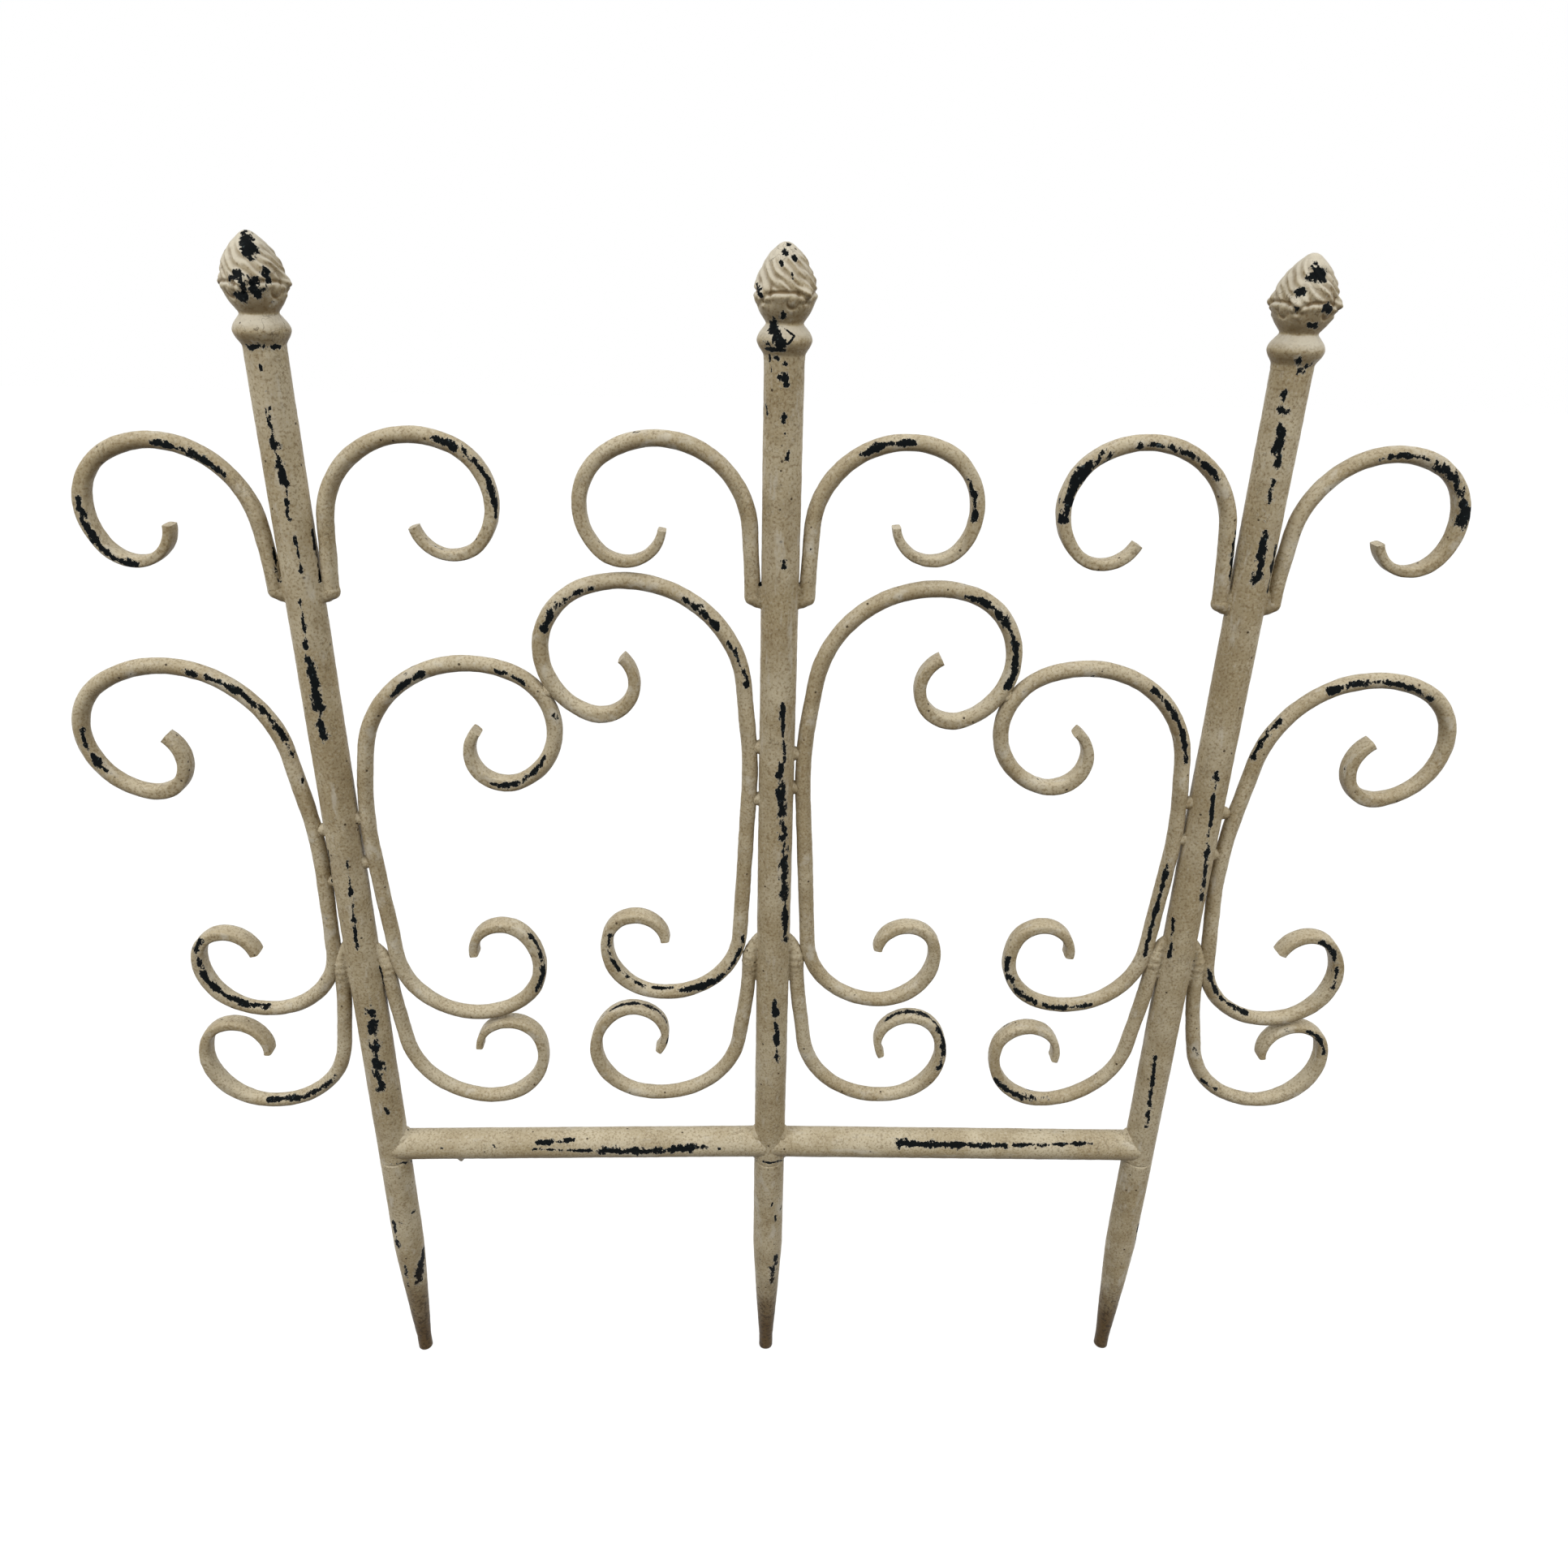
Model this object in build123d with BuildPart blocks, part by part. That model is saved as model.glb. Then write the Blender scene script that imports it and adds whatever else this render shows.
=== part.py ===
from build123d import *
from math import sqrt
import os

os.makedirs("parts", exist_ok=True)

# Layout of the panel, in millimetres: x along the panel, z up, the middle stake's end at the origin
post_spacing = 200.0
rail_height = 155.0
rail_rise = 2.4
seam_drop = 8.5
post_top = 553.0

# Round tube of the posts and the rail
tube_od = 16.0
tube_wall = 1.2

# Stake below each post
taper_start = 84.0
taper_middle = 50.0
taper_middle_d = 12.6
point_d = 7.8
point_length = 10.0
point_end_d = 5.0

# Forged round bar of the scrolls, and the slow bow that starts each stem
bar_d = 6.6
bow_r = 200.0

# Hammered ends of the bar: across in the plane of the panel, deep square to it
thinned_across = 5.4
thinned_deep = 8.4
tip_across = 3.4
tip_deep = 9.6

# Jig radii of the scrolls, from the stem to the tip
upper_radii = (38.0, 25.8, 15.5)
s_top_radii = (49.0, 28.5, 15.5)
s_top_wide_radii = (51.0, 30.5, 15.5)
s_bottom_radii = (36.5, 27.0, 14.0)
lower_radii = (41.5, 28.5, 15.5)

# Where the scroll stems stand beside a post
foot_gap = 0.2
stem_gap = 0.8

# Spigots of the stake and the finial inside the tube
spigot_length = 12.0
spigot_clearance = 0.15

# Finial, from the tube's end up: collar, neck, lobed cup and scaled bud
lip_d = 17.2
collar_d = 21.8
collar_height = 5.5
neck_d = 15.8
neck_height = 12.5
cup_d = 21.8
cup_height = 18.5
bud_d = 23.6
bud_height = 24.0
crown_d = 18.6
crown_height = 33.0
finial_height = 42.0
finial_tip_d = 2.4
finial_tip_height = 0.8

# Four curled leaf tips round the cup, and rows of scales above them
leaf_count = 4
leaf_r = 5.0
leaf_reach = 14.4
leaf_height = 23.0
scale_count = 9
scale_r = 3.7
scale_lift = 0.6
scale_rows = (27.6, 31.4, 34.9, 38.0)
finial_turns = {"left": 0.0, "middle": 42.0, "right": -34.0}

# Weld beads
rail_bead_r = 2.0
rail_bead_stop = 24.0
foot_bead_r = 3.9
small_bead_r = 3.0
large_bead_r = 4.6
large_bead_height = 15.0
tie_bead_r = 2.8

stake_top = rail_height - seam_drop
post_r = tube_od / 2
spigot_r = post_r - tube_wall - spigot_clearance
bar_r = bar_d / 2
foot_offset = post_r + bar_r + foot_gap
stem_offset = post_r + bar_r + stem_gap
hammered_sizes = ((thinned_across, thinned_deep), (tip_across, tip_deep))

posts = {"left": -post_spacing, "middle": 0.0, "right": post_spacing}
rail_heights = {"left": rail_height, "middle": rail_height + rail_rise, "right": rail_height}

# The six sides of posts that carry scrolls: post x and the way the scrolls curl
places = {
    "left_outer": (posts["left"], -1),
    "left_inner": (posts["left"], 1),
    "middle_left": (posts["middle"], -1),
    "middle_right": (posts["middle"], 1),
    "right_inner": (posts["right"], -1),
    "right_outer": (posts["right"], 1),
}

# Each hand-bent scroll: lean of the stem in degrees, straight length, turn of each jig radius
upper_bends = {
    "left_outer": (8, 3, (112, 97, 143)),
    "left_inner": (4, 18, (109, 104, 129)),
    "middle_left": (3, 21, (118, 103, 129)),
    "middle_right": (3, 21, (107, 107, 138)),
    "right_inner": (5, 17, (115, 106, 109)),
    "right_outer": (5, 14, (113, 95, 133)),
}

# Scrolls on a post, each above the one before: lower foot over the rail, knee of the S-scroll, upper foot
lower_foot_rises = {
    "left_outer": 115.0,
    "left_inner": 114.0,
    "middle_left": 121.0,
    "middle_right": 121.0,
    "right_inner": 121.0,
    "right_outer": 119.0,
}
knee_rises = {
    "left_outer": 55.0,
    "left_inner": 76.0,
    "middle_left": 99.0,
    "middle_right": 99.0,
    "right_inner": 69.0,
    "right_outer": 51.0,
}
upper_foot_rises = {
    "left_outer": 130.0,
    "left_inner": 110.0,
    "middle_left": 80.0,
    "middle_right": 80.0,
    "right_inner": 110.0,
    "right_outer": 130.0,
}

# S-scrolls: the bends above and below the knee, which is where the stem lies nearest the post
s_top_bends = {
    "left_outer": (9, 26, (116, 137, 150)),
    "left_inner": (10, 6, (103, 133, 157)),
    "middle_left": (5, 25, (104, 138, 161)),
    "middle_right": (9, 13, (96, 143, 176)),
    "right_inner": (6, 17.5, (105, 144, 160)),
    "right_outer": (9, 26, (106, 145, 159)),
}
s_bottom_bends = {
    "left_outer": (2, 40, (101, 91, 154)),
    "left_inner": (4, 56, (123, 94, 148)),
    "middle_left": (3, 76, (94, 98, 160)),
    "middle_right": (3, 80, (83, 105, 162)),
    "right_inner": (4, 50, (109, 90, 166)),
    "right_outer": (5, 35, (100, 116, 121)),
}

# Lower scrolls: the bends below the foot in the large weld
lower_bends = {
    "left_outer": (8, 22, (84, 111, 163)),
    "left_inner": (7, 20, (77, 112, 162)),
    "middle_left": (8, 22, (96, 124, 171)),
    "middle_right": (7, 26, (88, 116, 179)),
    "right_inner": (8, 26, (74, 110, 183)),
    "right_outer": (11, 16, (69, 119, 173)),
}

# Two small beads on each side, above and below the knee
small_weld_rises = {
    "left_outer": (19.0, -8.0),
    "left_inner": (5.0, -18.0),
    "middle_left": (13.0, -13.0),
    "middle_right": (10.0, -7.0),
    "right_inner": (17.0, -2.0),
    "right_outer": (32.0, 10.0),
}

lower_foot_heights = {place: rail_height + rise for place, rise in lower_foot_rises.items()}
knee_heights = {place: lower_foot_heights[place] + rise for place, rise in knee_rises.items()}
upper_foot_heights = {place: knee_heights[place] + rise for place, rise in upper_foot_rises.items()}


def scroll_plane(place):
    """Upright plane through a post's axis whose x runs away from the post."""
    x, side = places[place]
    return Plane(origin=(x, 0, 0), x_dir=(side, 0, 0), z_dir=(0, -side, 0))


def section_at(edge, share):
    """Plane square to an edge, with its x along the depth of the bar."""
    return Plane(origin=edge @ share, x_dir=(0, 1, 0), z_dir=edge % share)


def bent_bar(start, upward, lean, straight, radii, turns):
    """Adds a bar's path to the open line block: a slow bow, a straight run and the jig bends."""
    turn = -1 if upward else 1
    bow = JernArc(start, (0, 1 if upward else -1), bow_r, turn * lean)
    edges = [bow, PolarLine(bow @ 1, straight, direction=bow % 1)]
    for radius, angle in zip(radii, turns):
        edges.append(JernArc(edges[-1] @ 1, edges[-1] % 1, radius, turn * angle))
    return edges


def sweep_body(edges):
    """Sweeps the round bar along edges that follow each other."""
    with BuildSketch(section_at(edges[0], 0)) as bar:
        Circle(bar_r)
    sweep(sections=bar.sketch, path=Wire(edges))


def sweep_tip(bends):
    """Sweeps the last bend or two, where the bar is hammered thinner and wider towards its end."""
    with BuildSketch(section_at(bends[0], 0)) as bar:
        Circle(bar_r)
    sections = [bar.sketch]
    for bend, (across, deep) in zip(bends, hammered_sizes[-len(bends) :]):
        with BuildSketch(section_at(bend, 1)) as bar:
            Ellipse(deep / 2, across / 2)
        sections.append(bar.sketch)
        sweep(sections=sections[-2:], path=Wire([bend]), multisection=True)


def bar_of(edges):
    """The round part of a bar alone, to cut the pieces that fit against it."""
    with BuildPart() as bar:
        sweep_body(edges)
    return bar


def take_away(*others):
    for other in others:
        add(other.part, mode=Mode.SUBTRACT)


# Upper scrolls
def make_upper_scroll(place):
    lean, straight, turns = upper_bends[place]
    start = (foot_offset, upper_foot_heights[place])
    with BuildPart() as scroll:
        with BuildLine(scroll_plane(place)):
            edges = bent_bar(start, True, lean, straight, upper_radii, turns)
        sweep_body(edges[:-2])
        sweep_tip(edges[-2:])
    return scroll, bar_of(edges[:-2])


# S-scrolls, drawn both ways from the knee beside the post
def make_s_scroll(place):
    top_radii = s_top_wide_radii if place.startswith("middle") else s_top_radii
    top_lean, top_straight, top_turns = s_top_bends[place]
    low_lean, low_straight, low_turns = s_bottom_bends[place]
    knee = (stem_offset, knee_heights[place])
    with BuildPart() as scroll:
        with BuildLine(scroll_plane(place)):
            up = bent_bar(knee, True, top_lean, top_straight, top_radii, top_turns)
            down = bent_bar(knee, False, low_lean, low_straight, s_bottom_radii, low_turns)
        sweep_body(up[:-1])
        sweep_tip(up[-1:])
        sweep_body(down[:-2])
        sweep_tip(down[-2:])
    return scroll, bar_of(up[:-1]), bar_of(down[:-2])


# Lower scrolls, each foot ground to fit the S-scroll beside it
def make_lower_scroll(place, s_bar):
    lean, straight, turns = lower_bends[place]
    with BuildPart() as scroll:
        with BuildLine(scroll_plane(place)):
            start = (foot_offset, lower_foot_heights[place])
            edges = bent_bar(start, False, lean, straight, lower_radii, turns)
        sweep_body(edges[:-2])
        sweep_tip(edges[-2:])
        take_away(s_bar)
    return scroll, bar_of(edges[:-2])


# Posts
def make_post(name):
    with BuildPart() as post:
        with BuildSketch(Plane.XY.offset(stake_top)):
            with Locations((posts[name], 0)):
                Circle(post_r)
                Circle(post_r - tube_wall, mode=Mode.SUBTRACT)
        extrude(amount=post_top - stake_top)
    return post


# Stakes
def make_stake(name):
    spigot_top = stake_top + spigot_length
    with BuildPart() as stake:
        with BuildSketch(Plane(origin=(posts[name], 0, 0), x_dir=(1, 0, 0), z_dir=(0, -1, 0))):
            with BuildLine():
                end = Line((0, 0), (point_end_d / 2, 0))
                nose = Line(end @ 1, (point_d / 2, (point_d - point_end_d) / 2))
                shank = Line(nose @ 1, (point_d / 2, point_length))
                middle = (taper_middle_d / 2, taper_middle)
                taper = ThreePointArc(shank @ 1, middle, (post_r, taper_start))
                side = Line(taper @ 1, (post_r, stake_top))
                Polyline(side @ 1, (spigot_r, stake_top), (spigot_r, spigot_top), (0, spigot_top), (0, 0))
            make_face()
        revolve(axis=Axis((posts[name], 0, 0), (0, 0, 1)))
    return stake


# Finial, one casting that is set on each post at its own turn
def make_finial():
    with BuildPart() as finial:
        with BuildSketch(Plane.XZ):
            with BuildLine():
                Polyline((0, -spigot_length), (spigot_r, -spigot_length), (spigot_r, 0), (lip_d / 2, 0))
                neck = (neck_d / 2, neck_height)
                ThreePointArc((lip_d / 2, 0), (collar_d / 2, collar_height), neck)
                cup = ThreePointArc(neck, (cup_d / 2, cup_height), (bud_d / 2, bud_height))
                point = (finial_tip_d / 2, finial_height - finial_tip_height)
                crown = ThreePointArc(cup @ 1, (crown_d / 2, crown_height), point)
                Polyline(crown @ 1, (0, finial_height), (0, -spigot_length))
            make_face()
        revolve(axis=Axis.Z)
        with Locations((0, 0, leaf_height)):
            with PolarLocations(leaf_reach - leaf_r, leaf_count):
                Sphere(leaf_r)
        centre = crown.arc_center
        for row, height in enumerate(scale_rows):
            surface_r = centre.X + sqrt(crown.radius**2 - (height - centre.Y) ** 2)
            row_scale_r = scale_r * surface_r / (bud_d / 2)
            with Locations((0, 0, height)):
                reach = surface_r + scale_lift - row_scale_r
                with PolarLocations(reach, scale_count, start_angle=row * 180 / scale_count):
                    Sphere(row_scale_r)
    return finial


# Rails, coped to the posts at both ends
def rail_line(left, right):
    """Plane square to a rail at the axis of its left post, with its x along the depth."""
    start = Vector(posts[left], 0, rail_heights[left])
    end = Vector(posts[right], 0, rail_heights[right])
    return Plane(origin=start, x_dir=(0, 1, 0), z_dir=end - start), (end - start).length


def make_rail(left, right):
    square, span = rail_line(left, right)
    with BuildPart() as rail:
        with BuildSketch(square):
            Circle(post_r)
            Circle(post_r - tube_wall, mode=Mode.SUBTRACT)
        extrude(amount=span)
        for post in (left, right):
            with Locations((posts[post], 0, rail_heights[post])):
                Cylinder(post_r, 4 * tube_od, mode=Mode.SUBTRACT)
    return rail


# Welds above and below a rail's end, along the half ellipses where the tubes meet
def make_rail_welds(rise):
    """Welds of a rail that leaves a post at the origin towards +X and climbs by rise to the next post."""
    seam_reach = post_r * 2**0.5
    with BuildPart() as weld:
        for lift in (1, -1):
            with BuildLine(Plane(origin=(0, 0, 0), x_dir=(0, 1, 0), z_dir=(lift, 0, -1))) as seam:
                turn = 180 - 2 * rail_bead_stop
                EllipticalCenterArc((0, 0), post_r, seam_reach, rail_bead_stop, arc_size=turn)
            for share in (0, 1):
                with Locations(seam.line @ share):
                    Sphere(rail_bead_r)
            with BuildSketch(Plane(origin=seam.line @ 0, z_dir=seam.line % 0)):
                Circle(rail_bead_r)
            sweep(path=seam.line)
        Cylinder(post_r, 4 * tube_od, mode=Mode.SUBTRACT)
        with BuildSketch(Plane(origin=(0, 0, 0), x_dir=(0, 1, 0), z_dir=(post_spacing, 0, rise))):
            Circle(post_r)
        extrude(amount=2 * tube_od, both=True, mode=Mode.SUBTRACT)
    return weld


# Welds that hold the scrolls of one side to the post
def make_scroll_welds(place, bars):
    x, side = places[place]
    upper_foot_height = upper_foot_heights[place]
    with BuildPart() as welds:
        with Locations((x + side * (foot_offset - foot_bead_r / 2), 0, upper_foot_height)):
            Sphere(foot_bead_r)
        for rise in small_weld_rises[place]:
            with Locations((x + side * (post_r + stem_gap), 0, knee_heights[place] + rise)):
                Sphere(small_bead_r)
        large_x = x + side * foot_offset
        large_top = lower_foot_heights[place] + large_bead_height / 2 - large_bead_r
        large_bottom = large_top - large_bead_height + 2 * large_bead_r
        with Locations((large_x, 0, large_top), (large_x, 0, large_bottom)):
            Sphere(large_bead_r)
        with BuildSketch(Plane.XY.offset(large_bottom)):
            with Locations((large_x, 0)):
                Circle(large_bead_r)
        extrude(amount=large_top - large_bottom)
        with Locations((x, 0, post_top / 2)):
            Cylinder(post_r, post_top, mode=Mode.SUBTRACT)
        take_away(*bars)
    return welds


# Weld where the S-scrolls of two posts touch
def make_tie_weld(one, other):
    _, near_one, near_other = one.part.distance_to_with_closest_points(other.part)
    with BuildPart() as weld:
        with Locations((near_one + near_other) / 2):
            Sphere(tie_bead_r)
        take_away(one, other)
    return weld


def write(name, solid):
    solid.label = name
    export_step(solid, f"parts/{name}.step")


finial = make_finial()
for name, x in posts.items():
    write(f"post_{name}", make_post(name).part)
    write(f"stake_{name}", make_stake(name).part)
    seat = Location((x, 0, post_top), (0, 0, finial_turns[name]))
    write(f"finial_{name}", finial.part.moved(seat))

write("rail_left", make_rail("left", "middle").part)
write("rail_right", make_rail("middle", "right").part)

# Rail welds: place along the panel, post, the way the rail leaves it and its climb to the next post
rail_ends = {
    "left": ("left", 1, rail_rise),
    "middle_left": ("middle", -1, -rail_rise),
    "middle_right": ("middle", 1, -rail_rise),
    "right": ("right", -1, rail_rise),
}
for name, (post, side, rise) in rail_ends.items():
    weld = make_rail_welds(rise).part
    if side < 0:
        weld = mirror(weld, about=Plane.YZ)
    write(f"rail_welds_{name}", weld.moved(Location((posts[post], 0, rail_heights[post]))))

s_bars = {}
for place in places:
    upper, upper_bar = make_upper_scroll(place)
    s_scroll, bar_above, bar_below = make_s_scroll(place)
    lower, lower_bar = make_lower_scroll(place, bar_below)
    welds = make_scroll_welds(place, (upper_bar, bar_above, bar_below, lower_bar))
    s_bars[place] = bar_above
    write(f"upper_scroll_{place}", upper.part)
    write(f"s_scroll_{place}", s_scroll.part)
    write(f"lower_scroll_{place}", lower.part)
    write(f"scroll_welds_{place}", welds.part)

write("tie_weld_left", make_tie_weld(s_bars["left_inner"], s_bars["middle_left"]).part)
write("tie_weld_right", make_tie_weld(s_bars["middle_right"], s_bars["right_inner"]).part)
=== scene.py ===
import math

import bmesh
import bpy
import numpy as np
from mathutils import Matrix, Vector, noise
from mathutils.bvhtree import BVHTree


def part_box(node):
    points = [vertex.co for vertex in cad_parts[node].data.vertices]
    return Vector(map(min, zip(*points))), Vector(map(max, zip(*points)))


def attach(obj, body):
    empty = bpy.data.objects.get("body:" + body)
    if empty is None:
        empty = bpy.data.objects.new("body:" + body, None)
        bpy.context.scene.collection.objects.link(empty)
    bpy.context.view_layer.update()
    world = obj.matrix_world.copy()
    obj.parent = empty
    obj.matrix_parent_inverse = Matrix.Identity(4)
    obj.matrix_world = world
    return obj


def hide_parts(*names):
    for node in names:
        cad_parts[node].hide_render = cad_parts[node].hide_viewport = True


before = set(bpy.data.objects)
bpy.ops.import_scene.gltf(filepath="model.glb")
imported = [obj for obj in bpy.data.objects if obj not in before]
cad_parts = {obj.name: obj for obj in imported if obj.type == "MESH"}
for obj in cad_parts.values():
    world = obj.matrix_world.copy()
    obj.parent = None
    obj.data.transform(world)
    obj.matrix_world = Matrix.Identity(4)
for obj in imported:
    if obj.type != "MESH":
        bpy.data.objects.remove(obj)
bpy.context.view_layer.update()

MM = 0.001

# Layout of the panel, in millimetres as in the part's own source
POST_SPACING = 200.0
RAIL_HEIGHT = 155.0
RAIL_RISE = 2.4
STAKE_TOP = RAIL_HEIGHT - 8.5
POST_TOP = 553.0
POST_R = 8.0
POSTS = {"left": -POST_SPACING, "middle": 0.0, "right": POST_SPACING}
RAIL_HEIGHTS = {"left": RAIL_HEIGHT, "middle": RAIL_HEIGHT + RAIL_RISE, "right": RAIL_HEIGHT}

# Stake below each post
TAPER_START = 84.0
TAPER_MIDDLE = 50.0
TAPER_MIDDLE_D = 12.6
POINT_D = 7.8
POINT_LENGTH = 10.0
POINT_END_D = 5.0

# Forged bar of the scrolls under its coats of paint, and its hammered ends
UPPER_BAR_D = 6.9
BAR_D = 7.2
TIP_ACROSS = 3.6
S_TIP_ACROSS = 4.4
UPPER_TIP_DEEP = 7.8
TIP_DEEP = 8.8
BOW_R = 200.0
FOOT_OFFSET = 11.5
STEM_OFFSET = 12.1
UPPER_FOOT_HEIGHT = 455.0

# Jig radii of the scrolls, from the stem to the tip
UPPER_RADII = (38.0, 25.8, 15.5)
S_TOP_RADII = (49.0, 28.5, 15.5)
S_TOP_WIDE_RADII = (51.0, 30.5, 15.5)
S_BOTTOM_RADII = (36.5, 27.0, 14.0)
LOWER_RADII = (41.5, 28.5, 15.5)

# Side of a post: post x and the way its scrolls curl
PLACES = {
    "left_outer": (-POST_SPACING, -1),
    "left_inner": (-POST_SPACING, 1),
    "middle_left": (0.0, -1),
    "middle_right": (0.0, 1),
    "right_inner": (POST_SPACING, -1),
    "right_outer": (POST_SPACING, 1),
}

# Hand-bent scrolls: lean of the stem in degrees, straight length, turn of each jig radius
UPPER_BENDS = {
    "left_outer": (8, 3, (112, 97, 143)),
    "left_inner": (4, 18, (109, 104, 129)),
    "middle_left": (3, 21, (118, 103, 129)),
    "middle_right": (3, 21, (107, 107, 138)),
    "right_inner": (5, 17, (115, 106, 109)),
    "right_outer": (5, 14, (113, 95, 133)),
}
KNEE_HEIGHTS = {
    "left_outer": 325.0,
    "left_inner": 345.0,
    "middle_left": 375.0,
    "middle_right": 375.0,
    "right_inner": 345.0,
    "right_outer": 325.0,
}
S_TOP_BENDS = {
    "left_outer": (9, 26, (116, 137, 150)),
    "left_inner": (10, 6, (103, 133, 157)),
    "middle_left": (5, 25, (104, 138, 161)),
    "middle_right": (9, 13, (96, 143, 176)),
    "right_inner": (6, 17.5, (105, 144, 160)),
    "right_outer": (9, 26, (106, 145, 159)),
}
S_BOTTOM_BENDS = {
    "left_outer": (2, 40, (101, 91, 154)),
    "left_inner": (4, 56, (123, 94, 148)),
    "middle_left": (3, 76, (94, 98, 160)),
    "middle_right": (3, 80, (83, 105, 162)),
    "right_inner": (4, 50, (109, 90, 166)),
    "right_outer": (5, 35, (100, 116, 121)),
}
LOWER_FOOT_HEIGHTS = {
    "left_outer": 270.0,
    "left_inner": 269.0,
    "middle_left": 276.0,
    "middle_right": 276.0,
    "right_inner": 276.0,
    "right_outer": 274.0,
}
LOWER_BENDS = {
    "left_outer": (8, 22, (84, 111, 163)),
    "left_inner": (7, 20, (77, 112, 162)),
    "middle_left": (8, 22, (96, 124, 171)),
    "middle_right": (7, 26, (88, 116, 179)),
    "right_inner": (8, 26, (74, 110, 183)),
    "right_outer": (11, 16, (69, 119, 173)),
}

# Heights of the two small welds on each side
SMALL_WELD_HEIGHTS = {
    "left_outer": (344.0, 317.0),
    "left_inner": (350.0, 327.0),
    "middle_left": (388.0, 362.0),
    "middle_right": (385.0, 368.0),
    "right_inner": (362.0, 343.0),
    "right_outer": (357.0, 335.0),
}

# Finial profile: height over the post's end, radius
FINIAL_PROFILE = (
    (0.0, 8.05),
    (2.0, 8.2),
    (3.3, 8.9),
    (5.0, 10.0),
    (7.2, 10.7),
    (9.5, 10.0),
    (11.5, 8.5),
    (13.2, 7.3),
    (15.0, 8.3),
    (16.5, 9.4),
    (18.5, 10.5),
    (21.4, 11.6),
    (24.6, 11.9),
    (27.7, 11.4),
    (30.9, 10.3),
    (34.0, 8.7),
    (37.2, 6.7),
    (39.7, 4.1),
    (41.2, 2.3),
    (41.9, 0.7),
)

# Degrees that each finial is turned on its post
FINIAL_TURNS = {"left": 0.0, "middle": 42.0, "right": -34.0}

# Camera at the photograph's place
CAMERA_PLACE = (-10.24, -484.34, 602.80)
CAMERA_YAW = -1.62994
CAMERA_PITCH = 25.7047
CAMERA_ROLL = 1.26654
PHOTO_WIDTH = 1932
FOCAL_PIXELS = 1449.0

yaw, pitch, roll = (math.radians(angle) for angle in (CAMERA_YAW, CAMERA_PITCH, CAMERA_ROLL))
level = Vector((math.cos(yaw), math.sin(yaw), 0))
ahead = Vector((-math.sin(yaw), math.cos(yaw), 0))
forward = math.cos(pitch) * ahead - math.sin(pitch) * Vector((0, 0, 1))
upright = math.sin(pitch) * ahead + math.cos(pitch) * Vector((0, 0, 1))
right = math.cos(roll) * level + math.sin(roll) * upright
up_axis = -math.sin(roll) * level + math.cos(roll) * upright


def new_object(name, data):
    """An object of this name and data, in the scene."""
    made = bpy.data.objects.new(name, data)
    bpy.context.scene.collection.objects.link(made)
    return made


camera_data = bpy.data.cameras.new("photo camera")
camera_data.sensor_width = 36.0
camera_data.lens = 36.0 * FOCAL_PIXELS / PHOTO_WIDTH
camera_data.clip_start = 0.01
camera = new_object("photo camera", camera_data)
camera.matrix_world = Matrix.Translation(Vector(CAMERA_PLACE) * MM) @ Matrix(
    (right, up_axis, -forward)
).transposed().to_4x4()
bpy.context.scene.camera = camera
bpy.context.scene.view_settings.view_transform = "Standard"


def node(tree, kind, inputs=None, **settings):
    """Adds a node, sets its options, and fills or links its inputs by name or place."""
    made = tree.nodes.new(kind)
    for option, value in settings.items():
        setattr(made, option, value)
    for key, value in (inputs or {}).items():
        socket = made.inputs[key]
        if isinstance(value, bpy.types.NodeSocket):
            tree.links.new(value, socket)
        else:
            socket.default_value = value
    return made


def calc(tree, operation, *values):
    """A Math node's result."""
    return node(tree, "ShaderNodeMath", dict(enumerate(values)), operation=operation).outputs[0]


def times(tree, one, other):
    """The product of two values."""
    return calc(tree, "MULTIPLY", one, other)


def vector_calc(tree, operation, *values):
    """A Vector Math node's result."""
    made = node(tree, "ShaderNodeVectorMath", dict(enumerate(values)), operation=operation)
    return made.outputs["Vector"]


def ramp(tree, value, low, high, to_low=0.0, to_high=1.0, smooth=True):
    """A value that runs from one level to another while the input runs from low to high."""
    made = node(
        tree,
        "ShaderNodeMapRange",
        {"Value": value, "From Min": low, "From Max": high, "To Min": to_low, "To Max": to_high},
        interpolation_type="SMOOTHSTEP" if smooth else "LINEAR",
    )
    return made.outputs["Result"]


def tree_input(tree, name, value=None, kind="Float"):
    """Adds a named input to a node group and gives the identifier it is set by."""
    socket = tree.interface.new_socket(name, in_out="INPUT", socket_type="NodeSocket" + kind)
    if value is not None:
        socket.default_value = value
    return socket.identifier


# Forging marks and paint lumps to the metre
MARKS = 62.0
LUMPS = 300.0


def unevenness(tree, position, seed, coarse, fine):
    """Height of the forging marks and of the lumpy paint at a place on the steel."""
    shifted = vector_calc(tree, "ADD", position, node(tree, "ShaderNodeCombineXYZ", {0: seed}).outputs[0])
    waves = node(tree, "ShaderNodeTexNoise", {"Vector": shifted, "Scale": MARKS, "Detail": 1.0})
    dimples = node(tree, "ShaderNodeTexNoise", {"Vector": shifted, "Scale": LUMPS, "Detail": 2.0})
    low = times(tree, calc(tree, "SUBTRACT", waves.outputs[0], 0.5), coarse)
    high = times(tree, calc(tree, "SUBTRACT", dimples.outputs[0], 0.5), fine)
    return calc(tree, "ADD", low, high)


def stored(tree, geometry, name, value, data_type="FLOAT"):
    """The geometry with a value kept on its points under a name."""
    inputs = {"Geometry": geometry, "Name": name, "Value": value}
    return node(tree, "GeometryNodeStoreNamedAttribute", inputs, data_type=data_type).outputs[0]


def kept(tree, name, data_type="FLOAT"):
    """A value kept on the points under a name."""
    return node(tree, "GeometryNodeInputNamedAttribute", {"Name": name}, data_type=data_type).outputs[0]


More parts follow.
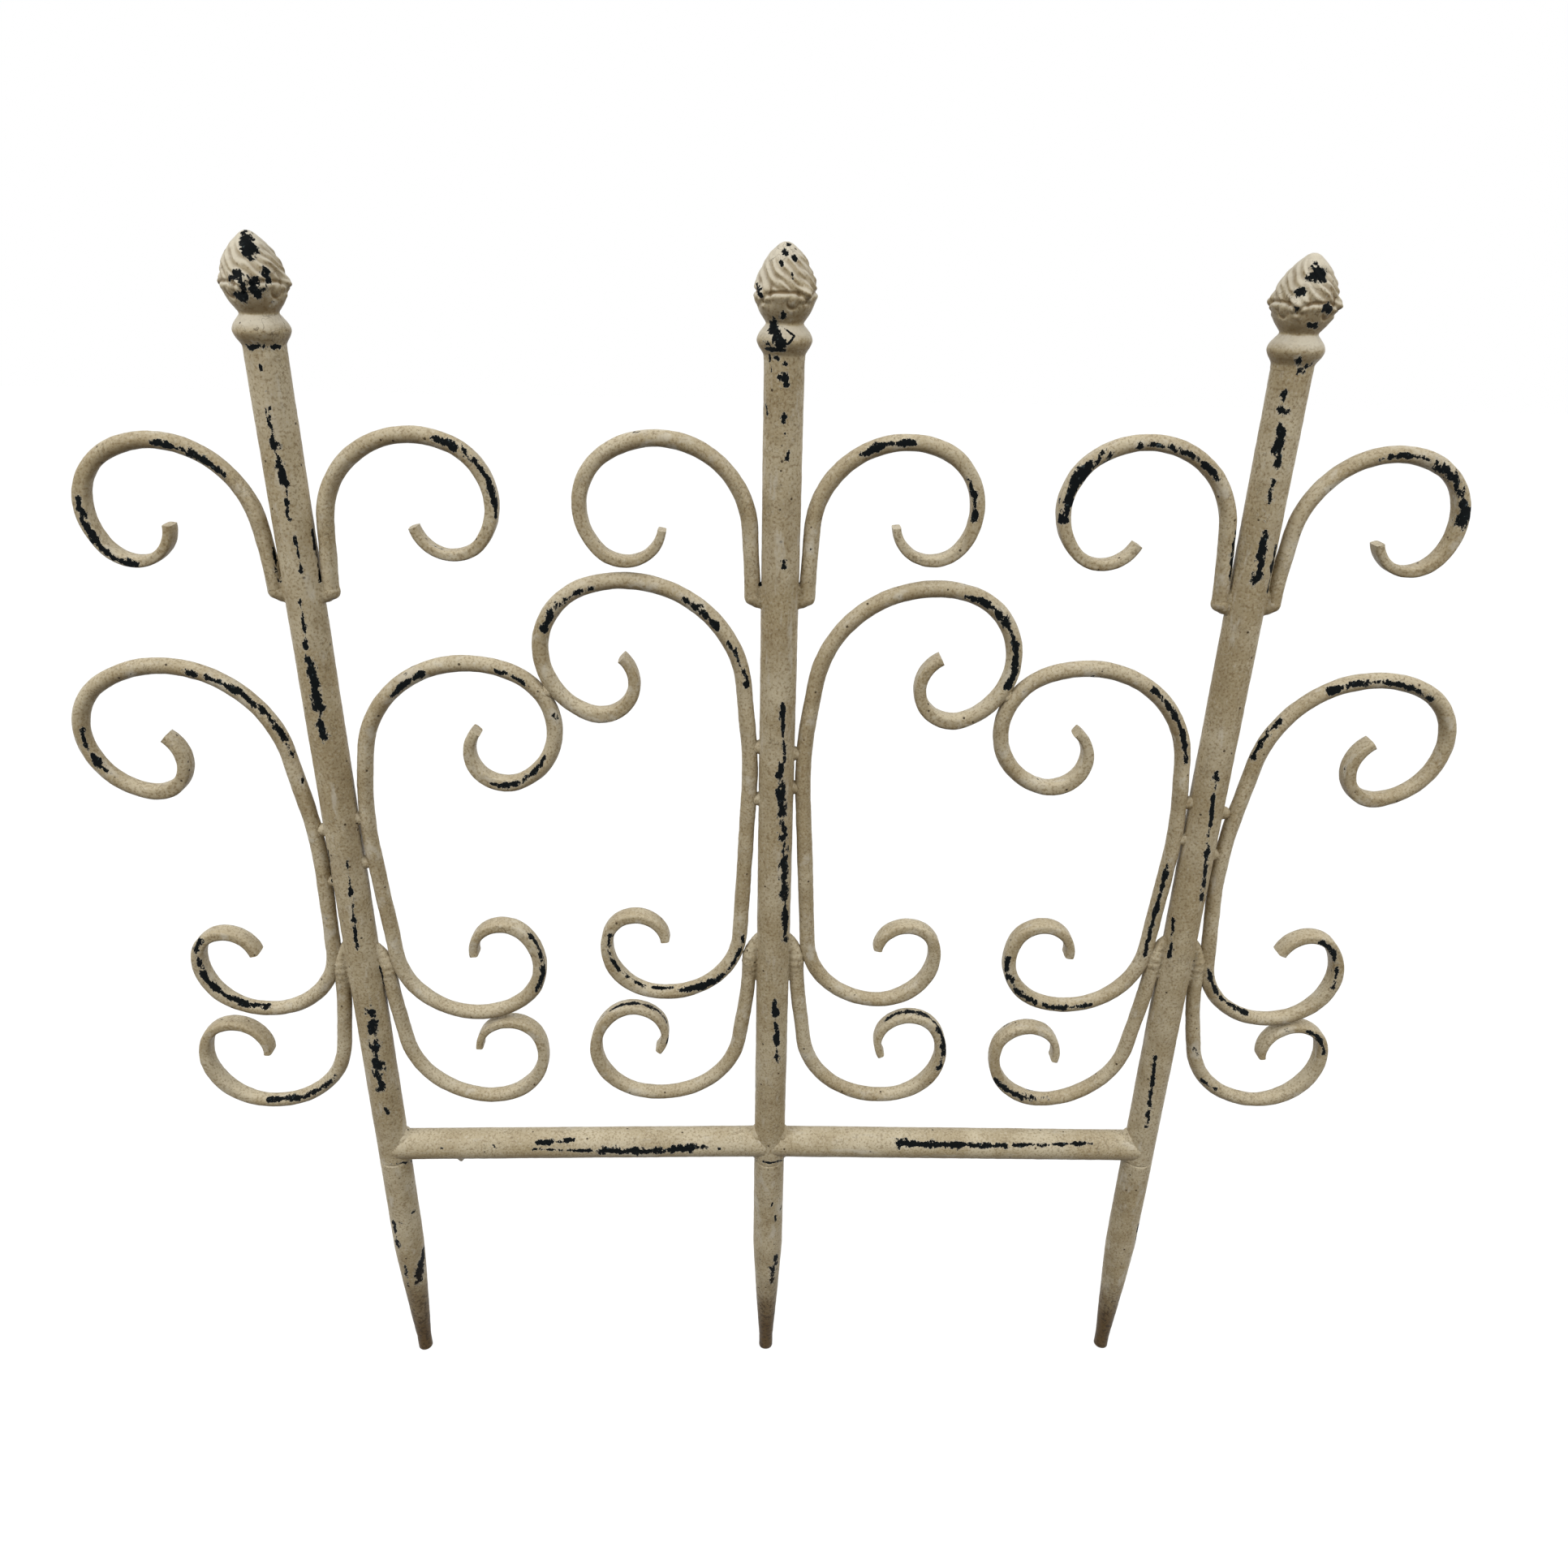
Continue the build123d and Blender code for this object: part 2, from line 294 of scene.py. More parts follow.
def hammered_share(tree, distance, length):
    """How far the bar is hammered out: nothing at length from its end, fully at the end."""
    share = calc(tree, "SUBTRACT", 1.0, ramp(tree, distance, 0.0, length, smooth=False))
    return times(tree, share, calc(tree, "GREATER_THAN", length, 0.0))


def forged_bar_tree():
    """Round bar along a curve in the panel's plane, drawn out thin and deep towards its ends."""
    tree = bpy.data.node_groups.new("Forged bar", "GeometryNodeTree")
    tree_input(tree, "Geometry", kind="Geometry")
    ids = {
        "diameter": tree_input(tree, "Diameter", BAR_D * MM),
        "sides": tree_input(tree, "Sides", 24, "Int"),
        "step": tree_input(tree, "Step", 0.0013),
        "start_tip": tree_input(tree, "Start hammered", 0.0),
        "end_tip": tree_input(tree, "End hammered", 0.0),
        "start_across": tree_input(tree, "Start across", TIP_ACROSS * MM),
        "end_across": tree_input(tree, "End across", TIP_ACROSS * MM),
        "deep": tree_input(tree, "Tip deep", TIP_DEEP * MM),
        "coarse": tree_input(tree, "Forging marks", 0.0007),
        "fine": tree_input(tree, "Paint lumps", 0.0004),
        "seed": tree_input(tree, "Seed", 0.0),
        "finish": tree_input(tree, "Finish", kind="Material"),
    }
    tree.interface.new_socket("Geometry", in_out="OUTPUT", socket_type="NodeSocketGeometry")
    start = node(tree, "NodeGroupInput").outputs
    steps = {"Curve": start["Geometry"], "Length": start["Step"]}
    curve = node(tree, "GeometryNodeResampleCurve", steps, mode="LENGTH").outputs[0]
    along = node(tree, "GeometryNodeSplineParameter").outputs["Length"]
    length = node(tree, "GeometryNodeCurveLength", {"Curve": curve}).outputs[0]
    left = calc(tree, "SUBTRACT", length, along)
    end_share = hammered_share(tree, left, start["End hammered"])
    start_share = hammered_share(tree, along, start["Start hammered"])
    radius = calc(tree, "DIVIDE", start["Diameter"], 2.0)

    def drawn(share, size):
        """Size against the round bar where this share of the drawing out is done."""
        goal = calc(tree, "DIVIDE", size, start["Diameter"])
        return ramp(tree, share, 0.0, 1.0, 1.0, goal, smooth=False)

    thin = times(tree, drawn(end_share, start["End across"]), drawn(start_share, start["Start across"]))
    both = calc(tree, "MAXIMUM", end_share, start_share)
    place = node(tree, "GeometryNodeInputPosition").outputs[0]
    curve = stored(tree, curve, "centre", place, "FLOAT_VECTOR")
    curve = stored(tree, curve, "thin", thin)
    curve = stored(tree, curve, "deep", drawn(both, start["Tip deep"]))
    curve = stored(tree, curve, "square", ramp(tree, both, 0.0, 0.4, 2.0, 5.5))
    ring = node(tree, "GeometryNodeCurvePrimitiveCircle", {"Resolution": start["Sides"], "Radius": radius})
    skin = node(
        tree,
        "GeometryNodeCurveToMesh",
        {"Curve": curve, "Profile Curve": ring.outputs[0], "Fill Caps": True},
    ).outputs[0]

    centre = kept(tree, "centre", "FLOAT_VECTOR")
    offset = vector_calc(tree, "SUBTRACT", place, centre)
    parts = node(tree, "ShaderNodeSeparateXYZ", {0: offset}).outputs
    flat = node(tree, "ShaderNodeCombineXYZ", {0: parts[0], 2: parts[2]}).outputs[0]
    reach = node(tree, "ShaderNodeVectorMath", {0: flat}, operation="LENGTH").outputs["Value"]
    power = kept(tree, "square")
    side_share = calc(tree, "POWER", calc(tree, "DIVIDE", reach, radius), power)
    deep_share = calc(tree, "POWER", calc(tree, "DIVIDE", calc(tree, "ABSOLUTE", parts[1]), radius), power)
    corner = calc(tree, "POWER", calc(tree, "ADD", side_share, deep_share), calc(tree, "DIVIDE", -1.0, power))
    across = times(tree, corner, kept(tree, "thin"))
    depth = times(tree, corner, kept(tree, "deep"))
    shape = node(tree, "ShaderNodeCombineXYZ", {0: across, 1: depth, 2: across}).outputs[0]
    target = vector_calc(tree, "ADD", centre, vector_calc(tree, "MULTIPLY", offset, shape))
    drawn_out = node(tree, "GeometryNodeSetPosition", {"Geometry": skin, "Position": target}).outputs[0]

    bumps = unevenness(tree, place, start["Seed"], start["Forging marks"], start["Paint lumps"])
    normal = node(tree, "GeometryNodeInputNormal").outputs[0]
    lift = node(tree, "ShaderNodeVectorMath", {0: normal, "Scale": bumps}, operation="SCALE").outputs[0]
    painted = node(tree, "GeometryNodeSetPosition", {"Geometry": drawn_out, "Offset": lift}).outputs[0]
    for name in ("centre", "thin", "deep", "square"):
        painted = node(tree, "GeometryNodeRemoveAttribute", {"Geometry": painted, "Name": name}).outputs[0]
    smooth = node(tree, "GeometryNodeSetShadeSmooth", {"Geometry": painted}).outputs[0]
    real = node(tree, "GeometryNodeRealizeInstances", {"Geometry": smooth}).outputs[0]
    finish = {"Geometry": real, "Material": start["Finish"]}
    node(tree, "NodeGroupOutput", {"Geometry": node(tree, "GeometryNodeSetMaterial", finish).outputs[0]})
    return tree, ids


# Length of the steps along a bend
BEND_STEP = 1.2


def bent_path(post_x, side, start, upward, lean, straight, turns, radii):
    """Centreline of a hand-bent bar: a slow bow, a straight run and the jig bends."""
    turn = -1 if upward else 1
    heading = math.radians(90 if upward else -90)
    out, up = start
    points = [(out, up)]
    legs = [(BOW_R, math.radians(lean)), (None, straight)]
    legs += [(radius, math.radians(angle)) for radius, angle in zip(radii, turns)]
    for radius, amount in legs:
        if radius is None:
            out += amount * math.cos(heading)
            up += amount * math.sin(heading)
            points.append((out, up))
            continue
        steps = max(2, round(radius * amount / BEND_STEP))
        half = amount / steps / 2
        for _ in range(steps):
            heading += turn * half
            out += 2 * radius * math.sin(half) * math.cos(heading)
            up += 2 * radius * math.sin(half) * math.sin(heading)
            heading += turn * half
            points.append((out, up))
    return [Vector((post_x + side * u, 0.0, v)) * MM for u, v in points]


def curve_object(name, points):
    """A curve through the given points, in metres."""
    data = bpy.data.curves.new(name, "CURVE")
    data.dimensions = "3D"
    spline = data.splines.new("POLY")
    spline.points.add(len(points) - 1)
    for index, point in enumerate(points):
        spline.points[index].co = (*point, 1.0)
    return new_object(name, data)


def finished(source, name):
    """The plain mesh that an object's modifiers come to, in a new object."""
    evaluated = source.evaluated_get(bpy.context.evaluated_depsgraph_get())
    mesh = bpy.data.meshes.new_from_object(evaluated)
    mesh.name = name
    old = source.data
    bpy.data.objects.remove(source)
    if isinstance(old, bpy.types.Curve):
        bpy.data.curves.remove(old)
    else:
        bpy.data.meshes.remove(old)
    return new_object(name, mesh)


painted_pieces = []


def stand_for(piece, slot_name, *nodes):
    """Hands a finished piece to the frame in place of CAD nodes."""
    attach(piece, "root")
    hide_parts(*nodes)
    painted_pieces.append(piece)


# Colours of the finish
CREAM = (0.560, 0.480, 0.325)
STONE = (0.420, 0.340, 0.205)
UMBER = (0.190, 0.125, 0.055)
DIRT = (0.045, 0.027, 0.012)
CHALK = (0.640, 0.590, 0.480)
# Bare steel's near-black is also the colour of painted shade lines in gaps
BARE_STEEL_AND_GAP_SHADE = (0.0010, 0.0022, 0.0026)
SCRAPED_STEEL = (0.070, 0.092, 0.095)
RUST = (0.085, 0.046, 0.013)

# Depth of the paint's relief in metres, its gloss, and how rough paint and bare steel are
RELIEF = 0.00030
GLOSS = 0.09
PAINT_ROUGH = 0.42
STEEL_ROUGH = 0.70


def paint_finish(name, streak, flakes=0.72, rust_top=None, crazing=0.35, chalk_and_top_light=0.15):
    """Cream paint with brown painted shade on the undersides and brown stains, chipped through to dark steel,
    whose near-black also paints shade lines in some gaps.

    Chance flakes come closest together on the axis with the largest streak, and more seldom the
    higher flakes is. rust_top is the height in metres where rust begins. crazing and the last argument
    are the strengths of the hair cracks and of the chalk and painted top light on faces that look up.
    """
    material = bpy.data.materials.new(name)
    material.use_nodes = True
    tree = material.node_tree
    tree.nodes.clear()
    place = node(tree, "ShaderNodeTexCoord").outputs["Object"]
    normal = node(tree, "ShaderNodeNewGeometry").outputs["Normal"]
    up = node(tree, "ShaderNodeSeparateXYZ", {0: normal}).outputs[2]

    def grain(scale, detail=3.0, rough=0.5, vector=place):
        """A noise with this many grains to the metre."""
        values = {"Vector": vector, "Scale": scale, "Detail": detail, "Roughness": rough}
        return node(tree, "ShaderNodeTexNoise", values).outputs[0]

    def mix(factor, one, other):
        """One colour changing to another as the factor rises."""
        made = node(tree, "ShaderNodeMix", {"Factor": factor}, data_type="RGBA")
        for index, value in ((6, one), (7, other)):
            if isinstance(value, bpy.types.NodeSocket):
                tree.links.new(value, made.inputs[index])
            else:
                made.inputs[index].default_value = (*value, 1.0)
        return made.outputs[2]

    # Coats of cream and stone, mottled in patches and in fine grain
    cloud = grain(38.0, 4.0, 0.62)
    colour = mix(ramp(tree, cloud, 0.38, 0.64), STONE, CREAM)
    speckle = grain(900.0, 2.0, 0.6)
    colour = mix(ramp(tree, speckle, 0.50, 0.34, 0.0, 0.62), colour, UMBER)
    colour = mix(ramp(tree, speckle, 0.56, 0.70, 0.0, 0.40), colour, CHALK)

    # Chalk and painted top light: paint lighter on faces that look up
    colour = mix(ramp(tree, calc(tree, "ADD", up, cloud), 0.45, 1.25, 0.0, chalk_and_top_light), colour, CHALK)

    # Painted shade: brown on the undersides, mixed with broad brown stains
    stain = grain(70.0, 5.0, 0.7)
    underside_shade_and_stain = ramp(tree, calc(tree, "ADD", up, times(tree, stain, 1.3)), 1.05, -0.35, 0.0, 0.80)
    colour = mix(underside_shade_and_stain, colour, UMBER)

    # Painted shade and dirt: darker brown in the creases of the castings
    crease = node(tree, "ShaderNodeAttribute", attribute_name="crease").outputs["Fac"]
    colour = mix(ramp(tree, crease, 0.0, 1.0, 0.0, 0.85), colour, UMBER)

    # Hair cracks in the coats, in some areas only
    crack = calc(tree, "ABSOLUTE", calc(tree, "SUBTRACT", grain(95.0, 3.0, 0.65), 0.5))
    area = ramp(tree, grain(30.0, 2.0), 0.46, 0.58)
    cracked = times(tree, ramp(tree, crack, 0.0, 0.012, crazing, 0.0), area)
    colour = mix(cracked, colour, DIRT)

    # Pinholes
    pit = node(tree, "ShaderNodeTexVoronoi", {"Vector": place, "Scale": 240.0})
    dice = node(tree, "ShaderNodeSeparateColor", {0: pit.outputs[1]}).outputs[0]
    chosen = calc(tree, "GREATER_THAN", dice, 0.80)
    hole = times(tree, ramp(tree, pit.outputs[0], 0.16, 0.10), chosen)
    colour = mix(times(tree, hole, 0.9), colour, DIRT)

    # Flakes: some by chance everywhere, the larger ones where the wear is set on the piece; the set marks
    # also paint shade, dark lines in gaps beside the posts
    stretched = node(tree, "ShaderNodeMapping", {"Vector": place, "Scale": streak}).outputs[0]
    chance = calc(tree, "SUBTRACT", grain(1.0, 5.0, 0.62, stretched), flakes - 0.5)
    worn = node(tree, "ShaderNodeAttribute", attribute_name="worn").outputs["Fac"]
    torn = node(tree, "ShaderNodeMapping", {"Vector": place, "Scale": (1.0, 1.0, 0.6)}).outputs[0]
    ragged = times(tree, calc(tree, "SUBTRACT", grain(360.0, 5.0, 0.75, torn), 0.5), 2.8)
    broken = times(tree, worn, ramp(tree, grain(150.0, 2.0), 0.34, 0.56, 0.62, 1.15))
    set_wear_and_shade = times(tree, calc(tree, "ADD", broken, ragged), ramp(tree, worn, 0.0, 0.12))
    reach = calc(tree, "MAXIMUM", set_wear_and_shade, chance)
    rim = ramp(tree, reach, 0.34, 0.48, 0.0, 0.55)
    bare_and_gap_shade = ramp(tree, reach, 0.485, 0.515)
    colour = mix(rim, colour, CHALK)
    scrape = grain(520.0, 3.0, 0.7)
    # Dark steel colour, which also serves as painted shade in the gaps beside the posts
    steel = mix(ramp(tree, scrape, 0.62, 0.72), BARE_STEEL_AND_GAP_SHADE, SCRAPED_STEEL)
    colour = mix(bare_and_gap_shade, colour, steel)

    # Rust towards the point of a stake
    if rust_top is not None:
        height = node(tree, "ShaderNodeSeparateXYZ", {0: place}).outputs[2]
        low = calc(tree, "ADD", height, times(tree, stain, 0.03))
        colour = mix(ramp(tree, low, rust_top, rust_top * 0.4, 0.0, 0.90), colour, RUST)
        deep = ramp(tree, low, rust_top, rust_top * 0.5)
        spots = times(tree, deep, ramp(tree, scrape, 0.50, 0.58))
        colour = mix(times(tree, spots, 0.8), colour, DIRT)

    # Relief of the coats, which stop at the flakes, at the painted shade lines and at the pinholes
    surface = calc(tree, "ADD", times(tree, speckle, 0.35), times(tree, stain, 0.5))
    relief = calc(tree, "SUBTRACT", surface, calc(tree, "ADD", bare_and_gap_shade, times(tree, hole, 0.8)))
    bump = node(tree, "ShaderNodeBump", {"Strength": 0.7, "Distance": RELIEF, "Height": relief})
    rough = ramp(tree, bare_and_gap_shade, 0.0, 1.0, PAINT_ROUGH, STEEL_ROUGH)
    shader = node(
        tree,
        "ShaderNodeBsdfPrincipled",
        {"Base Color": colour, "Roughness": rough, "Normal": bump.outputs[0], "Specular IOR Level": GLOSS},
    )
    node(tree, "ShaderNodeOutputMaterial", {"Surface": shader.outputs[0]})
    return material


post_paint = paint_finish("cream paint on posts", (150.0, 150.0, 38.0))
rail_paint = paint_finish("cream paint on rails", (38.0, 150.0, 150.0))
scroll_paint = paint_finish("cream paint on scrolls", (85.0, 200.0, 85.0), 0.705)
weld_paint = paint_finish("cream paint on welds", (110.0, 110.0, 110.0), 0.76)
# The finials get the most chalk and painted top light
finial_paint = paint_finish("cream paint on finials", (190.0, 190.0, 190.0), 0.74, crazing=0.6, chalk_and_top_light=0.75)
stake_paint = paint_finish("rusting paint on stakes", (110.0, 110.0, 50.0), 0.70, rust_top=0.086)

bar_tree, bar_ids = forged_bar_tree()

# Centrelines of the scrolls, for the wear
bar_paths = []


def forged(name, points, node_name, seed, **values):
    """A scroll made along its centreline and finished as one piece."""
    bar_paths.append(points)
    settings = {bar_ids["seed"]: seed, bar_ids["finish"]: scroll_paint}
    settings.update({bar_ids[key]: value for key, value in values.items()})
    source = curve_object(name, points)
    modifier = source.modifiers.new(bar_tree.name, "NODES")
    modifier.node_group = bar_tree
    for identifier, value in settings.items():
        modifier[identifier] = value
    piece = finished(source, name)
    piece.data.set_sharp_from_angle(angle=math.radians(50))
    stand_for(piece, "scroll_paint", node_name)


def bends_length(radii, turns, count):
    """Length in metres of the last bends of a scroll, which are hammered."""
    return sum(radius * math.radians(turn) for radius, turn in list(zip(radii, turns))[-count:]) * MM


# How far an S-scroll's top end is drawn out, against its last bend's length
S_TOP_DRAWN = 1.15

# Scrolls; an upper one starts a little over its foot, an S-scroll runs from its top end down
for count, (place, (post_x, side)) in enumerate(PLACES.items()):
    lean, straight, turns = UPPER_BENDS[place]
    foot = (FOOT_OFFSET, UPPER_FOOT_HEIGHT)
    path = bent_path(post_x, side, foot, True, lean, straight, turns, UPPER_RADII)[2:]
    forged(
        f"upper_crook_{place}",
        path,
        f"upper_scroll_{place}",
        0.1 + count,
        diameter=UPPER_BAR_D * MM,
        deep=UPPER_TIP_DEEP * MM,
        end_tip=bends_length(UPPER_RADII, turns, 2),
    )

    top_radii = S_TOP_WIDE_RADII if place.startswith("middle") else S_TOP_RADII
    knee = (STEM_OFFSET, KNEE_HEIGHTS[place])
    up = bent_path(post_x, side, knee, True, *S_TOP_BENDS[place], top_radii)
    down = bent_path(post_x, side, knee, False, *S_BOTTOM_BENDS[place], S_BOTTOM_RADII)
    forged(
        f"s_curve_{place}",
        up[:0:-1] + down,
        f"s_scroll_{place}",
        20.3 + count,
        start_tip=bends_length(top_radii, S_TOP_BENDS[place][2], 1) * S_TOP_DRAWN,
        start_across=S_TIP_ACROSS * MM,
        end_tip=bends_length(S_BOTTOM_RADII, S_BOTTOM_BENDS[place][2], 2),
        end_across=S_TIP_ACROSS * MM,
    )

    lean, straight, turns = LOWER_BENDS[place]
    foot = (FOOT_OFFSET, LOWER_FOOT_HEIGHTS[place])
    path = bent_path(post_x, side, foot, False, lean, straight, turns, LOWER_RADII)
    forged(
        f"lower_curl_{place}",
        path,
        f"lower_scroll_{place}",
        40.7 + count,
        end_tip=bends_length(LOWER_RADII, turns, 2),
    )


# Turned, cast and tube pieces
def between(table, height):
    """Radius at a height, on a smooth line through the profile's points."""
    index = next((i for i, (h, _) in enumerate(table) if h >= height and i > 0), len(table) - 1)
    before = table[max(0, index - 2)]
    (h0, r0), (h1, r1) = table[index - 1], table[index]
    after = table[min(len(table) - 1, index + 1)]
    slope0 = (r1 - before[1]) / (h1 - before[0])
    slope1 = (after[1] - r0) / (after[0] - h0)
    span = h1 - h0
    t = min(1.0, (height - h0) / span)
    return (
        r0 * (2 * t**3 - 3 * t**2 + 1)
        + slope0 * span * (t**3 - 2 * t**2 + t)
        + r1 * (3 * t**2 - 2 * t**3)
        + slope1 * span * (t**3 - t**2)
    )


def skin_of_rings(name, rings, finish):
    """A closed skin over rings of points, with flat ends."""
    sides = len(rings[0])
    bm = bmesh.new()
    rows = [[bm.verts.new(Vector(point) * MM) for point in ring] for ring in rings]
    for low, high in zip(rows, rows[1:]):
        for step in range(sides):
            after = (step + 1) % sides
            bm.faces.new((low[step], low[after], high[after], high[step]))
    bm.faces.new(rows[0][::-1])
    bm.faces.new(rows[-1])
    bmesh.ops.recalc_face_normals(bm, faces=bm.faces)
    mesh = bpy.data.meshes.new(name)
    bm.to_mesh(mesh)
    bm.free()
    mesh.shade_smooth()
    mesh.set_sharp_from_angle(angle=math.radians(60))
    mesh.materials.append(finish)
    return new_object(name, mesh)


def round_piece(name, x, heights, sides, radius_at, finish):
    """A closed piece about a post's axis; radius_at(angle, height) shapes it."""
    turns = [2 * math.pi * step / sides for step in range(sides)]
    rings = []
    for height in heights:
        reach = [(angle, radius_at(angle, height)) for angle in turns]
        rings.append([(x + r * math.sin(angle), -r * math.cos(angle), height) for angle, r in reach])
    return skin_of_rings(name, rings, finish)


def steps_between(low, high, step):
    """Even steps from low to high, each close to this size."""
    count = max(1, round((high - low) / step))
    return [low + (high - low) * i / count for i in range(count + 1)]


# Waves of the steel and lumps of the paint to the millimetre, and their depths on each kind of piece
WAVES = 0.06
DABS = 0.31
TUBE_DENTS = (0.10, 0.09)
BUD_DENTS = (0.25, 0.12)
WELD_DENTS = (0.05, 0.10)


def dent(point, coarse, fine):
    """Unevenness of the steel and its paint at a point, in millimetres."""
    at = Vector(point)
    return coarse * noise.noise(at * WAVES) + fine * noise.noise(at * DABS)


def tube_radius(x, angle, height, radius):
    """Radius of a painted tube with its unevenness."""
    point = (x + radius * math.sin(angle), -radius * math.cos(angle), height)
    return radius + dent(point, *TUBE_DENTS)


def stake_radius(height):
    """A round nose, a point that swells through its middle size, and then the post's own radius."""
    if height >= TAPER_START:
        return POST_R
    nose = (POINT_D - POINT_END_D) / 2
    if height <= POINT_LENGTH:
        return POINT_END_D / 2 + min(height, nose)
    middle = (TAPER_MIDDLE - POINT_LENGTH) / (TAPER_START - POINT_LENGTH)
    share = (height - POINT_LENGTH) / (TAPER_START - POINT_LENGTH)
    first = (share - middle) * (share - 1) / middle
    second = share * (share - 1) / (middle * (middle - 1))
    third = share * (share - middle) / (1 - middle)
    return POINT_D / 2 * first + TAPER_MIDDLE_D / 2 * second + POST_R * third


# Posts and stakes, with a fine groove where they meet
POST_SIDES = 64
STAKE_SIDES = 56
SEAM_DEPTH = 0.35
SEAM_REACH = 0.9
POST_STEP = 0.95
STAKE_STEP = 1.0


def seam(gap):
    """Depth of the groove at this distance from the joint."""
    return SEAM_DEPTH * max(0.0, 1 - gap / SEAM_REACH) ** 2


for name, x in POSTS.items():
    heights = [STAKE_TOP, STAKE_TOP + 0.35, STAKE_TOP + 0.7]
    heights += steps_between(STAKE_TOP + 1.2, POST_TOP, POST_STEP)
    post = round_piece(
        f"post_tube_{name}",
        x,
        heights,
        POST_SIDES,
        lambda angle, height: tube_radius(x, angle, height, POST_R) - seam(height - STAKE_TOP),
        post_paint,
    )
    stand_for(post, "post_paint", f"post_{name}")

    heights = [0.0, 0.7, 1.4] + steps_between(2.2, STAKE_TOP - 1.0, STAKE_STEP)
    heights += [STAKE_TOP - 0.5, STAKE_TOP]
    stake = round_piece(
        f"stake_spike_{name}",
        x,
        heights,
        STAKE_SIDES,
        lambda angle, height: tube_radius(x, angle, height, stake_radius(height)) - seam(STAKE_TOP - height),
        stake_paint,
    )
    stand_for(stake, "stake_paint", f"stake_{name}")

# Rails, their ends cut to the posts' round and sunk a little into them
RAIL_SIDES = 64
RAIL_RINGS = 200
COPE_SINK = 0.3
COPE_LEAST = 0.4
RAIL_PLAY = 0.02

# A drip of paint that set under the left rail
DRIP_X = -165.0
DRIP_R = 2.2
DRIP_LENGTH = 4.4
for name, low, high in (("left", "left", "middle"), ("right", "middle", "right")):
    slope = (RAIL_HEIGHTS[high] - RAIL_HEIGHTS[low]) / POST_SPACING
    rings = []
    for share in steps_between(0.0, 1.0, 1.0 / RAIL_RINGS):
        ring = []
        for step in range(RAIL_SIDES):
            angle = 2 * math.pi * step / RAIL_SIDES
            cope = max(COPE_LEAST, POST_R * abs(math.cos(angle)) - COPE_SINK)
            x = POSTS[low] + cope + share * (POST_SPACING - 2 * cope)
            middle = RAIL_HEIGHTS[low] + slope * (x - POSTS[low])
            point = (x, POST_R * math.sin(angle), middle + POST_R * math.cos(angle))
            radius = POST_R - RAIL_PLAY + dent(point, *TUBE_DENTS)
            if name == "left":
                from_drip = math.hypot(x - DRIP_X, POST_R * (angle - math.pi))
                radius += DRIP_LENGTH * math.exp(-((from_drip / DRIP_R) ** 2))
            ring.append((x, radius * math.sin(angle), middle + radius * math.cos(angle)))
        rings.append(ring)
    rail = skin_of_rings(f"bottom_rail_{name}", rings, rail_paint)
    stand_for(rail, "rail_paint", f"rail_{name}")


# Finials: sizes in millimetres, heights over the post's end
BUD_SIDES = 140
BUD_STEP = 0.27
LEAVES = 4
CUP_BASE = 12.0
CUP_R = 12.0
RIM_HEIGHT = 24.2
RIM_FALL = 3.6
CURL_SIDE = 3.3
CURL_HEIGHT = 21.2
CURL_R = 2.1
CURL_OPENS = 0.9
CREASES_END = 40.0
SCALES_END = 41.0
SCALE_STARTS = 13
SCALE_PITCH = 3.9
SCALES_FADE = 6.0

# Stem, curled tip, its underside and the crease beside it: way round, width, height, width, how far out
LEAF_FORMS = (
    (0.0, 3.36, 19.0, 4.0, 0.35),
    (0.0, 2.2, 24.4, 2.3, 2.1),
    (0.0, 2.4, 20.8, 0.9, -0.90),
    (3.6, 0.8, 23.0, 3.2, -0.75),
)


def round_angle(angle):
    """The same angle, between half a turn back and half a turn on."""
    return math.atan2(math.sin(angle), math.cos(angle))


def hill(distance, width):
    """One at no distance, falling away over the width on both sides."""
    return math.exp(-((distance / width) ** 2))


